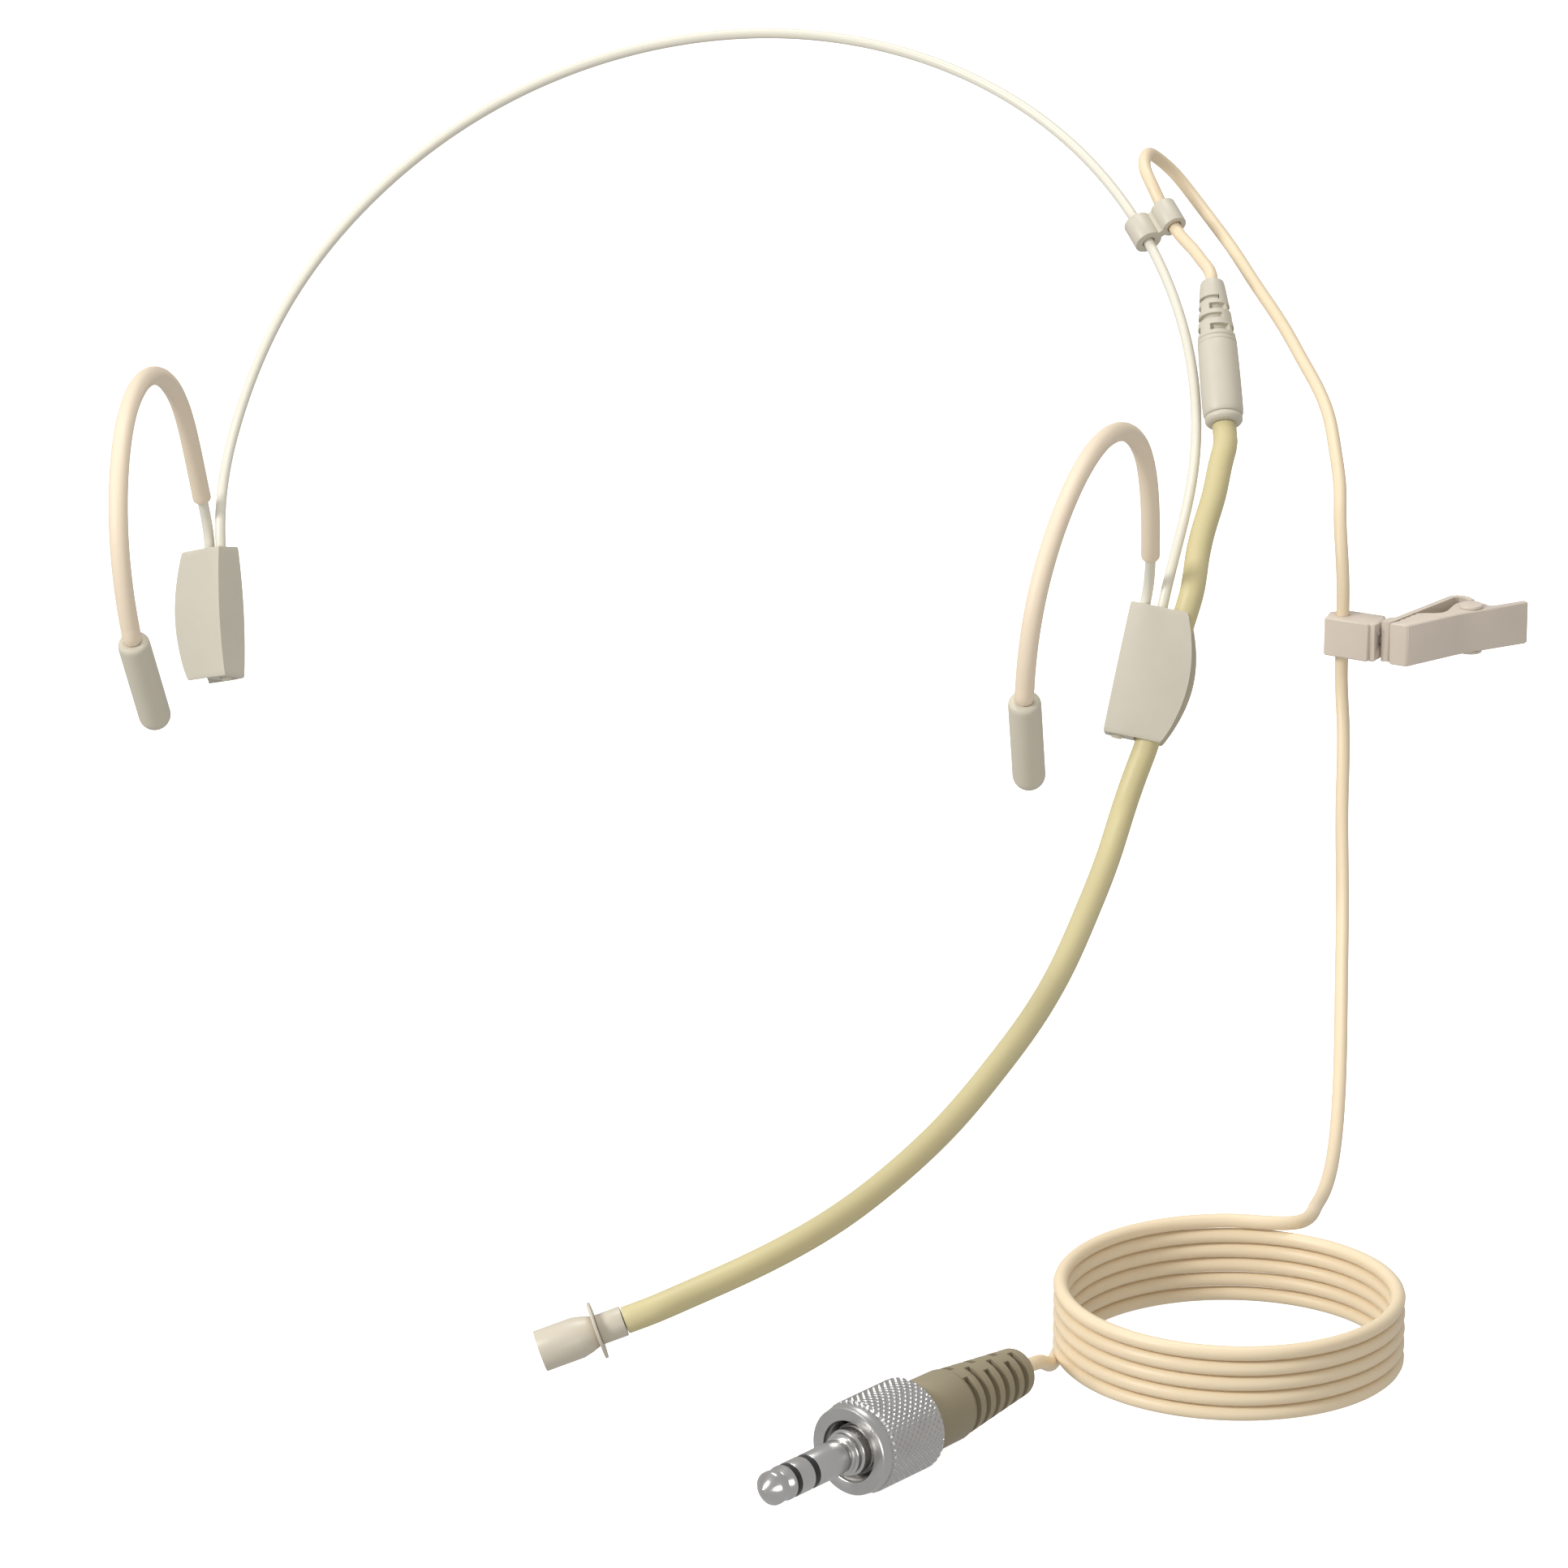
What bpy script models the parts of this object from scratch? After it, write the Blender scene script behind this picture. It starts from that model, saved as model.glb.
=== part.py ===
"""Head-worn stage microphone: neckband wire, two ear hooks, clamp blocks, bendable boom with
a small capsule, strain-relief connector, cable with wire clip, garment clip, hank and a
locking 3.5 mm jack plug. Metres, +Z up, the wearer faces -Y, origin between the ear tops."""
import math

import bmesh
import bpy
import numpy as np
from mathutils import Matrix, Vector

MM = 0.001

# ---- driving sizes, millimetres -----------------------------------------------------------
FIT = 0.06               # radial clearance of a running or assembled fit
GAP = 0.3                # air between pieces that only sit beside each other
BUTT = 0.05              # air where two pieces meet end to end

WIRE_D = 1.24            # spring wire of the neckband and of the hooks
WIRE_IN = 4.5            # how deep a wire goes into its block
HOOK_TUBE_D = 2.15       # soft sleeve on the ear hook
TIP_D = 3.6              # bead at the end of the ear hook
BOOM_D = 2.8
CABLE_D = 1.48

BLOCK_L = 15.3           # along the wires
BLOCK_W = 8.3            # widest, at the bulge
BLOCK_W_END = 6.6
BLOCK_T = 4.3            # thickest, front leaf to rear leaf
BLOCK_T_END = 3.5
WIRE_PITCH = 2.0         # between the hook wire and the neckband wire
HOOK_U_RIGHT = 1.5       # hook wire from the straight edge, right block
BAND_U_LEFT = 1.4        # neckband wire from the straight edge, left block
BOOM_U_BOTTOM = 5.0      # boom axis from the straight edge at the block's bottom
BOOM_U_TOP = 6.2
BOOM_ROOM = 0.12         # air round the boom in its slot
BOOM_TRAVEL = 1.5        # how far the boom slides down through the block
BOOM_STRAIGHT = BLOCK_L + BOOM_TRAVEL + 1.0
STOP_PIN_D = 1.5
STOP_PIN_L = 5.0

MIC_COLLAR_D = 3.1
MIC_COLLAR_L = 2.6
MIC_DISC_D = 5.9
MIC_DISC_T = 0.3
MIC_NECK_D = 3.15
MIC_D = 4.25
MIC_TAPER_L = 1.9
MIC_BARREL_L = 4.0
MIC_WALL = 0.3

CONN_D = 4.7             # connector body
CONN_WAIST_D = 4.55
CONN_L = 9.7             # lip to shoulder
CONN_LIP_L = 0.9
CONN_LIP_D = 4.35
BOOT_L = 7.5
BOOT_TOP_D = 2.75

CLIP_BAND_D = 3.3        # wire clip, barrel round the neckband
CLIP_CABLE_D = 3.05       # wire clip, barrel round the cable
CLIP_PITCH = 3.45        # between the two barrels
CLIP_L = 3.3

HANK_TURNS = 5.3         # turns of the wound cable, one below the other
HANK_PITCH = 1.58
HANK_R = 16.9            # centreline radius of the cable hank

HOLDER_X0, HOLDER_X1 = -1.3, 4.1     # cable holder, from the cable's axis
HOLDER_Y0, HOLDER_Y1 = -2.0, 1.9
HOLDER_H = 4.4
NECK_L = 0.65            # flange that the garment clip swivels against
STUD_D = 1.1
STUD_L = 1.6

JAW_H = 4.8              # garment clip, height of the lever
JAW_NOSE = 10.1          # nose to pivot
JAW_TAIL = 6.8           # pivot to tail end
JAW_GAPE = 5.15          # pivot to the back of the fixed jaw
JAW_PLATE = 0.9          # top and bottom plates of the lever
HUB_D = 2.04             # fixed jaw's eye round the rivet
RIVET_D = 1.3
RIVET_HEAD_D = 2.7
RIVET_HEAD_T = 0.35

JACK_D = 3.5
JACK_L = 12.9            # front ring face to jack tip
JACK_SLEEVE_END = 6.2    # front ring face to the end of the sleeve contact
JACK_RING_L = 1.95
INSULATOR_L = 0.65
RING_D = 9.4
RING_BORE_D = 6.0
RING_L = 9.4
PLUG_BODY_D = 7.4
PLUG_BODY_L = 5.7
BOOT2_L = 10.9
BOOT2_D0 = 7.1
BOOT2_D1 = 4.9
RIBS = 6
RIB_GROOVE = 0.62
COLLAR_D = 5.1           # threaded collar inside the ring
COLLAR_OUT = 1.4         # collar in front of the ring face

# ---- places, millimetres ------------------------------------------------------------------
BAND_HALF = [(55.2, 21.0, -27.5), (56.4, 32.9, -15.3), (53.7, 45.4, -4.3), (46.3, 57.2, 6.3),
             (34.4, 67.5, 15.3), (18.4, 74.4, 21.5), (0.0, 77.0, 23.7)]
HOOK_RIGHT = [(54.2, 18.4, -20.7), (54.7, 10.8, -7.5), (53.7, -3.3, -0.7), (52.0, -18.0, -2.8),
              (49.9, -27.4, -12.7), (48.7, -27.4, -23.9), (48.2, -21.7, -34.2)]
HOOK_LEFT = [(-57.3, 20.9, -21.6), (-57.0, 12.2, -8.0), (-55.8, -2.8, -0.9),
             (-54.0, -18.0, -2.8), (-51.9, -27.4, -12.7), (-50.7, -27.4, -23.9),
             (-50.2, -21.7, -34.2)]
BLOCK_ACROSS = {1: (0.988, 0.021, -0.153), -1: (-0.817, 0.488, -0.308)}
BOOM_LOWER = [(53.9, 14.3, -44.3), (52.9, 12.4, -47.8), (52.3, 7.2, -51.4), (51.9, -4.5, -54.7),
              (51.5, -17.9, -57.1), (50.6, -32.1, -58.7), (49.1, -45.8, -59.8),
              (47.2, -59.0, -60.8), (44.7, -70.8, -61.6), (41.6, -81.2, -62.4),
              (37.9, -90.3, -63.0), (33.4, -96.6, -64.1), (28.5, -101.6, -65.4),
              (23.5, -104.8, -67.0)]
BOOM_UPPER = [(59.35, 36.45, -10.1), (59.6, 33.8, -13.2), (59.3, 30.9, -16.5),
              (58.7, 27.9, -19.7), (58.4, 24.8, -22.9)]
CONN_TOP = (55.74, 48.08, 3.56)
MIC_DIR = (-0.893, -0.309, -0.326)
CLIP_ON_BAND = (46.0, 57.6, 6.7)
CLIP_SIDE = (0.818, 0.266, 0.510)
CABLE_TO_CLIP = [(54.5, 50.8, 5.5), (53.0, 53.1, 6.2)]
CABLE_DOWN = [(46.4, 61.0, 11.4), (45.0, 63.5, 13.2), (44.9, 66.0, 13.9), (45.5, 68.3, 13.1),
              (47.3, 69.5, 11.2), (49.8, 68.2, 8.9), (52.9, 64.5, 6.7), (56.1, 60.3, 4.5),
              (59.1, 55.2, 2.6), (62.1, 49.9, 0.9), (65.1, 44.1, -0.7), (67.9, 38.4, -2.5),
              (70.6, 33.3, -4.5), (72.6, 28.6, -6.6), (74.0, 24.2, -9.2), (75.1, 20.5, -12.0),
              (75.7, 17.2, -14.9), (76.3, 14.9, -18.0), (76.7, 13.7, -21.2)]
HOLDER_AT = (76.8, 13.3, -26.8)
HOLDER_TURN_DEG = -18.0
CABLE_FLOOR = [(76.8, 13.3, -31.5), (77.4, 11.4, -36.4), (78.3, 5.9, -43.9),
               (79.9, -3.2, -51.2), (81.4, -12.8, -56.9), (83.4, -26.1, -62.8),
               (84.9, -37.8, -65.6), (85.8, -46.6, -66.3), (86.3, -53.0, -66.1),
               (86.5, -58.5, -65.8), (86.6, -63.8, -65.1), (86.3, -69.6, -64.4)]
HANK_AT = (81.7, -88.0, -64.25)   # centre of the hank, level with its top strand
CLIP_PIVOT = (90.4, 18.6, -26.8)
CLIP_TURN_DEG = 39.0
PLUG_AT = (51.5, -128.9, -68.6)
PLUG_TURN_DEG = 27.0     # jack points this far from -Y towards -X
TAIL = [(64.9, -100.9, -69.3), (64.9, -96.3, -71.4)]


# ---- helpers ------------------------------------------------------------------------------
def clear_scene():
    for obj in list(bpy.data.objects):
        bpy.data.objects.remove(obj, do_unlink=True)


def material(name, colour, roughness, metallic=0.0):
    mat = bpy.data.materials.new(name)
    mat.use_nodes = True
    bsdf = mat.node_tree.nodes["Principled BSDF"]
    bsdf.inputs["Base Color"].default_value = (*colour, 1.0)
    bsdf.inputs["Roughness"].default_value = roughness
    bsdf.inputs["Metallic"].default_value = metallic
    mat.diffuse_color = (*colour, 1.0)
    return mat


def spline(points, step):
    """Natural cubic spline through the points, read at an even step of arc length."""
    pts = np.array(points, float)
    d = np.r_[0.0, np.cumsum(np.linalg.norm(np.diff(pts, axis=0), axis=1))]
    n, h = len(d), np.diff(d)
    a, b = np.eye(n), np.zeros((n, 3))
    for i in range(1, n - 1):
        a[i, i - 1], a[i, i], a[i, i + 1] = h[i - 1], 2 * (h[i - 1] + h[i]), h[i]
        b[i] = 6 * ((pts[i + 1] - pts[i]) / h[i] - (pts[i] - pts[i - 1]) / h[i - 1])
    m = np.linalg.solve(a, b)

    def at(t):
        i = min(max(int(np.searchsorted(d, t) - 1), 0), n - 2)
        u, v = d[i + 1] - t, t - d[i]
        return ((m[i] * u ** 3 + m[i + 1] * v ** 3) / (6 * h[i])
                + (pts[i] / h[i] - m[i] * h[i] / 6) * u
                + (pts[i + 1] / h[i] - m[i + 1] * h[i] / 6) * v)

    fine = np.array([at(t) for t in np.linspace(0.0, d[-1], 600)])
    run = np.r_[0.0, np.cumsum(np.linalg.norm(np.diff(fine, axis=0), axis=1))]
    count = max(3, int(round(run[-1] / step)) + 1)
    want = np.linspace(0.0, run[-1], count)
    return np.array([[np.interp(s, run, fine[:, k]) for k in range(3)] for s in want])


def wire(name, points, diameter, mat, resolution=2, origin=None):
    """A round rod or cord: a poly curve with a bevel and closed ends."""
    base = Vector(origin if origin is not None else (0, 0, 0)) * MM
    curve = bpy.data.curves.new(name, "CURVE")
    curve.dimensions = "3D"
    curve.bevel_depth = diameter / 2 * MM
    curve.bevel_resolution = resolution
    curve.use_fill_caps = True
    line = curve.splines.new("POLY")
    line.points.add(len(points) - 1)
    for slot, p in zip(line.points, points):
        slot.co = (*(Vector(p) * MM - base), 1.0)
    line.use_smooth = True
    obj = bpy.data.objects.new(name, curve)
    obj.location = base
    curve.materials.append(mat)
    bpy.context.scene.collection.objects.link(obj)
    return obj


def finish(bm, name, mat, matrix, smooth=35.0):
    """Turn a bmesh in millimetres into a named object placed by its matrix."""
    bmesh.ops.scale(bm, vec=(MM, MM, MM), verts=bm.verts)
    bmesh.ops.recalc_face_normals(bm, faces=bm.faces)
    mesh = bpy.data.meshes.new(name)
    bm.to_mesh(mesh)
    bm.free()
    if smooth:
        mesh.shade_smooth()
        mesh.set_sharp_from_angle(angle=math.radians(smooth))
    if mat is not None:
        mesh.materials.append(mat)
    obj = bpy.data.objects.new(name, mesh)
    obj.matrix_world = matrix
    bpy.context.scene.collection.objects.link(obj)
    return obj


def lathe(name, profile, mat, matrix, segments=24):
    """Turn an (r, z) outline about the local Z axis; r = 0 points stay on the axis."""
    bm = bmesh.new()
    rings = []
    for r, z in profile:
        if r < 1e-6:
            rings.append([bm.verts.new((0, 0, z))])
        else:
            rings.append([bm.verts.new((r * math.cos(2 * math.pi * k / segments),
                                        r * math.sin(2 * math.pi * k / segments), z))
                          for k in range(segments)])
    closed = profile[0][0] > 1e-6 and profile[-1][0] > 1e-6
    pairs = list(zip(rings, rings[1:])) + ([(rings[-1], rings[0])] if closed else [])
    for low, high in pairs:
        for k in range(segments):
            j = (k + 1) % segments
            if len(low) == 1 and len(high) == 1:
                continue
            if len(low) == 1:
                bm.faces.new((low[0], high[k], high[j]))
            elif len(high) == 1:
                bm.faces.new((low[k], low[j], high[0]))
            else:
                bm.faces.new((low[k], low[j], high[j], high[k]))
    return finish(bm, name, mat, matrix)


def prism(name, outline, z0, z1, mat, matrix, bevel=0.0, smooth=35.0):
    """Pull a flat (x, y) outline from z0 to z1, with softened long edges if asked."""
    bm = bmesh.new()
    verts = [bm.verts.new((x, y, z0)) for x, y in outline]
    face = bm.faces.new(verts)
    ret = bmesh.ops.extrude_face_region(bm, geom=[face])
    up = [v for v in ret["geom"] if isinstance(v, bmesh.types.BMVert)]
    bmesh.ops.translate(bm, verts=up, vec=(0, 0, z1 - z0))
    if bevel:
        flat = [e for e in bm.edges if abs(e.verts[0].co.z - e.verts[1].co.z) < 1e-6]
        bmesh.ops.bevel(bm, geom=flat, offset=bevel, segments=1, profile=0.5,
                        affect="EDGES", material=-1)
    return finish(bm, name, mat, matrix, smooth)


def cut(obj, cutter):
    """Take the cutter out of the object and hide the cutter."""
    mod = obj.modifiers.new("cut_" + cutter.name, "BOOLEAN")
    mod.operation = "DIFFERENCE"
    mod.solver = "EXACT"
    mod.object = cutter
    cutter.hide_render = True
    cutter.display_type = "WIRE"


def rod(name, p0, p1, diameter, mat=None, segments=20):
    """A plain cylinder from p0 to p1."""
    a, b = Vector(p0), Vector(p1)
    r = diameter / 2
    return lathe(name, [(0, 0), (r, 0), (r, (b - a).length), (0, (b - a).length)], mat,
                 place(a, b - a), segments)


def place(at, z_axis, x_hint=(0, 0, 1)):
    """Matrix with its origin at `at` (mm), local Z along z_axis, local X near x_hint."""
    z = Vector(z_axis).normalized()
    x = Vector(x_hint) - z * Vector(x_hint).dot(z)
    if x.length < 1e-4:
        x = Vector((1, 0, 0)) - z * z.x
    x.normalize()
    y = z.cross(x)
    rot = Matrix((x, y, z)).transposed().to_4x4()
    return Matrix.Translation(Vector(at) * MM) @ rot


def turned(at, degrees):
    return Matrix.Translation(Vector(at) * MM) @ Matrix.Rotation(math.radians(degrees), 4, "Z")


def arc(cx, cy, r, a0, a1, steps):
    return [(cx + r * math.cos(math.radians(a0 + (a1 - a0) * k / steps)),
             cy + r * math.sin(math.radians(a0 + (a1 - a0) * k / steps)))
            for k in range(steps + 1)]


# ---- block frames -------------------------------------------------------------------------
def block_frame(side, top_of_band, band_u):
    """Unit vectors (u across, v along the wires, t backwards) and corner of one block."""
    u = Vector(BLOCK_ACROSS[side]).normalized()
    v = Vector((0.136 * side, 0.357, 0.924))
    v = (v - u * v.dot(u)).normalized()
    t = v.cross(u) * side
    corner = Vector(top_of_band) - band_u * u - BLOCK_L * v - BLOCK_T / 2 * t
    return corner, u, v, t


def in_block(frame, bu, bv, bt):
    corner, u, v, t = frame
    return corner + float(bu) * u + float(bv) * v + float(bt) * t


def block_matrix(frame):
    corner, u, v, t = frame
    rot = Matrix((u, v, t)).transposed().to_4x4()
    return Matrix.Translation(corner * MM) @ rot


def block(name, frame, mat, bores):
    """One clamp block: bulged C-section, wire bores, boom slot, stop-pin bore."""
    bm = bmesh.new()
    sections = []
    stations = 8
    for k in range(stations + 1):
        f = k / stations
        bulge = math.sin(math.pi * (0.08 + 0.84 * f)) ** 0.9
        low = math.sin(math.pi * 0.08) ** 0.9
        bulge = max(0.0, (bulge - low) / (1 - low))
        w = BLOCK_W_END + (BLOCK_W - BLOCK_W_END) * bulge
        th = BLOCK_T_END + (BLOCK_T - BLOCK_T_END) * bulge
        z0, z1 = (BLOCK_T - th) / 2, (BLOCK_T + th) / 2
        c, e = 0.25, 0.9
        ring = [(c, z0), (w * 0.5, z0 - 0.0), (w - e, z0 + 0.12), (w - 0.25, z0 + 0.4),
                (w, z0 + 1.0), (w, z1 - 1.0), (w - 0.25, z1 - 0.4), (w - e, z1 - 0.12),
                (w * 0.5, z1), (c, z1), (0, z1 - c), (0, z0 + c)]
        y = BLOCK_L * f
        sections.append([bm.verts.new((x, y, z)) for x, z in ring])
    for a, b in zip(sections, sections[1:]):
        for i in range(len(a)):
            j = (i + 1) % len(a)
            bm.faces.new((a[i], a[j], b[j], b[i]))
    bm.faces.new(sections[0][::-1])
    bm.faces.new(sections[-1])
    body = finish(bm, name, mat, block_matrix(frame), smooth=32.0)
    mid = BLOCK_T / 2
    half = BOOM_D / 2 + BOOM_ROOM
    # slot for the boom, open on the bulged side, its floor parallel to the boom
    slope = (BOOM_U_TOP - BOOM_U_BOTTOM) / BLOCK_L
    floor0 = BOOM_U_BOTTOM - half - slope * 1.0
    floor1 = BOOM_U_TOP - half + slope * 1.0
    slot = prism(name + "_slot_cutter",
                 [(floor0, -1.0), (BLOCK_W + 3, -1.0), (BLOCK_W + 3, BLOCK_L + 1.0),
                  (floor1, BLOCK_L + 1.0)],
                 mid - half, mid + half, None, block_matrix(frame), smooth=0)
    cut(body, slot)
    for k, (bu, depth, diameter) in enumerate(bores):
        bore = rod(f"{name}_bore_cutter_{k}", in_block(frame, bu, BLOCK_L - depth, mid),
                   in_block(frame, bu, BLOCK_L + 1.0, mid), diameter)
        cut(body, bore)
    pin = rod(name + "_pin_cutter", in_block(frame, HOOK_U_RIGHT, -1.0, mid),
              in_block(frame, HOOK_U_RIGHT, STOP_PIN_L, mid), STOP_PIN_D + 2 * FIT)
    cut(body, pin)
    return body


def build():
    clear_scene()
    beige = material("block_plastic", (0.72, 0.68, 0.58), 0.45)
    ivory = material("wire_coat", (0.88, 0.85, 0.76), 0.4)
    peach = material("hook_silicone", (0.90, 0.80, 0.66), 0.5)
    tip = material("tip_silicone", (0.72, 0.67, 0.58), 0.5)
    boom_mat = material("boom_sleeve", (0.74, 0.68, 0.48), 0.45)
    cream = material("cable_jacket", (0.86, 0.78, 0.62), 0.5)
    mic_mat = material("mic_housing", (0.70, 0.65, 0.57), 0.4)
    mesh_mat = material("capsule_gauze", (0.35, 0.33, 0.30), 0.5, 0.8)
    pink = material("clip_plastic", (0.78, 0.71, 0.65), 0.45)
    steel = material("spring_steel", (0.6, 0.6, 0.6), 0.3, 1.0)
    nickel = material("nickel", (0.72, 0.71, 0.69), 0.25, 1.0)
    black = material("insulator", (0.03, 0.03, 0.03), 0.4)
    olive = material("plug_moulding", (0.28, 0.24, 0.16), 0.5)

    # neckband and blocks
    half_x = [(-x, y, z) for x, y, z in BAND_HALF[:-1]]
    band_top_r, band_top_l = BAND_HALF[0], half_x[0]
    right = block_frame(1, band_top_r, HOOK_U_RIGHT + WIRE_PITCH)
    left = block_frame(-1, band_top_l, BAND_U_LEFT)
    mid = BLOCK_T / 2
    r_band_u, r_hook_u = HOOK_U_RIGHT + WIRE_PITCH, HOOK_U_RIGHT
    l_band_u, l_hook_u = BAND_U_LEFT, BAND_U_LEFT + WIRE_PITCH

    def straight(frame, bu, out=0.8):
        """Straight end of a wire: bottom of its bore to just above the block."""
        return [in_block(frame, bu, BLOCK_L - WIRE_IN + s, mid)
                for s in np.linspace(0.0, WIRE_IN + out, 4)]

    band_pts = (straight(left, l_band_u) + [Vector(p) for p in half_x[1:]]
                + [Vector(p) for p in BAND_HALF[::-1][:-1]]
                + straight(right, r_band_u)[::-1])
    wire("neckband_wire", spline(band_pts, 4.6), WIRE_D, ivory, resolution=2)

    hole = WIRE_D + 2 * FIT
    block("right_block", right, beige,
          [(r_hook_u, WIRE_IN + 0.2, hole), (r_band_u, WIRE_IN + 0.2, hole)])
    block("left_block", left, beige,
          [(l_hook_u, WIRE_IN + 0.2, hole), (l_band_u, WIRE_IN + 0.2, hole)])
    for name, frame in (("right_stop_pin", right), ("left_stop_pin", left)):
        rod(name, in_block(frame, HOOK_U_RIGHT, -0.4, mid),
            in_block(frame, HOOK_U_RIGHT, STOP_PIN_L - 0.3, mid), STOP_PIN_D, tip, 16)

    # ear hooks: wire in the block, sleeve, bead; each piece has its origin on the wire's axis
    for name, frame, bu, route in (("right", right, r_hook_u, HOOK_RIGHT),
                                   ("left", left, l_hook_u, HOOK_LEFT)):
        axis_point = in_block(frame, bu, BLOCK_L, mid)
        pivot = bpy.data.objects.new(name + "_hook_pivot", None)
        pivot.location = axis_point * MM
        bpy.context.scene.collection.objects.link(pivot)
        whole = spline(straight(frame, bu, 0.6) + [Vector(p) for p in route], 1.3)
        start = int(np.argmin(np.linalg.norm(whole - np.array(route[0]), axis=1)))
        joint = int(np.argmin(np.linalg.norm(whole - np.array(route[5]), axis=1)))
        stem = whole[: start + 1]
        sleeve = [whole[start] + (whole[start + 1] - whole[start]) * (2 * BUTT / 1.3)]
        bead_dir = np.array(Vector(np.array(route[6]) - whole[joint]).normalized())
        sleeve += [p for p in whole[start + 2: joint - 1: 2]]
        sleeve += [whole[joint] - bead_dir * 0.7, whole[joint]]
        end = whole[joint] + bead_dir * 2 * BUTT
        wire(name + "_hook_wire", stem, WIRE_D, ivory, origin=axis_point)
        wire(name + "_hook_sleeve", sleeve, HOOK_TUBE_D, peach, origin=axis_point)
        r, length = TIP_D / 2, float(np.linalg.norm(np.array(route[6]) - end))
        bead = [(0, 0), (r * 0.88, 0), (r, 0.25)]
        bead += [(r * math.cos(a), length + r * math.sin(a))
                 for a in np.linspace(0, math.pi / 2, 6)[:-1]] + [(0, length + r)]
        obj = lathe(name + "_hook_tip", bead, tip,
                    place(end, np.array(route[6]) - end), 20)
        for child in (name + "_hook_wire", name + "_hook_sleeve", obj.name):
            item = bpy.data.objects[child]
            item.parent = pivot
            item.matrix_parent_inverse = Matrix.Translation(-axis_point * MM)

    # boom: straight through the block's slot, bent to the mouth, with the capsule at its end
    slope = (BOOM_U_TOP - BOOM_U_BOTTOM) / BLOCK_L

    def boom_at(v):
        return in_block(right, BOOM_U_BOTTOM + slope * v, v, mid)

    lower = Vector(BOOM_UPPER[0])
    axis = (Vector(CONN_TOP) - lower).normalized()
    d = Vector(MIC_DIR).normalized()
    mouth = Vector(BOOM_LOWER[-1])
    run = ([lower - axis * k for k in (0.0, 1.0, 2.0)] + [Vector(p) for p in BOOM_UPPER[1:]]
           + [boom_at(v) for v in (BOOM_STRAIGHT, 14.0, 10.0, 4.0, -0.5)]
           + [Vector(p) for p in BOOM_LOWER[:-1]] + [mouth - d * k for k in (2.0, 1.0, 0.0)])
    path = [Vector(p) for p in spline(run, 4.2)]
    away = [(p - right[0]).dot(right[2]) for p in path]
    last_up = max(i for i, v in enumerate(away) if v > BOOM_STRAIGHT + 1.0)
    path = ([path[0], path[0] - axis * 0.8, *path[1: last_up + 1]]
            + [boom_at(v) for v in (BOOM_STRAIGHT, BLOCK_L / 2, -0.5)]
            + [p for i, p in enumerate(path[:-1]) if i > last_up and away[i] < -2.0]
            + [path[-1] - d * 0.8, path[-1]])
    wire("boom_tube", path, BOOM_D, boom_mat, resolution=2)
    base = Vector(path[-1]) + d * 2 * BUTT
    at_mic = place(base, d)
    r = MIC_COLLAR_D / 2
    lathe("mic_collar", [(0, 0), (r - 0.1, 0), (r, 0.1), (r, MIC_COLLAR_L), (0, MIC_COLLAR_L)],
          mic_mat, at_mic)
    s = MIC_COLLAR_L + BUTT
    r = MIC_DISC_D / 2
    lathe("mic_guard_disc", [(0, s), (r, s), (r, s + MIC_DISC_T), (0, s + MIC_DISC_T)],
          mic_mat, at_mic, 28)
    s += MIC_DISC_T + BUTT
    r0, r1 = MIC_NECK_D / 2, MIC_D / 2
    front = s + MIC_TAPER_L + MIC_BARREL_L
    inner = r1 - MIC_WALL
    lathe("mic_housing", [(0, s), (r0, s), (r0 + 0.33, s + 0.8), (r1, s + MIC_TAPER_L),
                          (r1, front), (inner, front), (inner, front - 2.6),
                          (0, front - 2.6)], mic_mat, at_mic, 28)
    lathe("mic_capsule", [(0, front - 2.6 + BUTT), (inner - FIT, front - 2.6 + BUTT),
                          (inner - FIT, front - 0.75), (0, front - 0.75)], nickel, at_mic)
    lathe("mic_front_gauze", [(0, front - 0.75 + BUTT), (inner - FIT, front - 0.75 + BUTT),
                              (inner - FIT, front - 0.12), (0, front - 0.12)], mesh_mat,
          at_mic)

    # connector on the boom's upper end
    at_conn = place(lower + axis * 2 * BUTT, axis)
    rl, rb, rw = CONN_LIP_D / 2, CONN_D / 2, CONN_WAIST_D / 2
    lathe("connector_lip", [(0, 0), (rl - 0.2, 0), (rl, 0.2), (rl, CONN_LIP_L),
                            (0, CONN_LIP_L)], beige, at_conn, 28)
    s = CONN_LIP_L + BUTT
    lathe("connector_body", [(0, s), (rb - 0.25, s), (rb, s + 0.3), (rb, s + CONN_L * 0.4),
                             (rb - 0.03, s + CONN_L * 0.7), (rw, s + CONN_L),
                             (0, s + CONN_L)], beige, at_conn, 28)
    s += CONN_L + BUTT
    rt = BOOT_TOP_D / 2
    profile = [(0, s), (rw - 0.04, s), (rw - 0.08, s + 0.7)]
    for k in range(3):
        z = s + 0.7 + 1.45 * k
        ra = rw - 0.08 - (rw - rt - 0.08) * (0.7 + 1.45 * k) / BOOT_L
        rc = ra - (rw - rt) * 0.65 / BOOT_L
        profile += [(ra - 0.32, z + 0.02), (rc - 0.32, z + 0.6), (rc, z + 0.62),
                    (rc - 0.1, z + 1.43)]
    profile += [(rt + 0.02, s + BOOT_L - 0.25), (rt - 0.2, s + BOOT_L), (0, s + BOOT_L)]
    lathe("connector_boot", profile, beige, at_conn, 20)
    boot_end = lower + axis * (2 * BUTT + s + BOOT_L)

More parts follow.
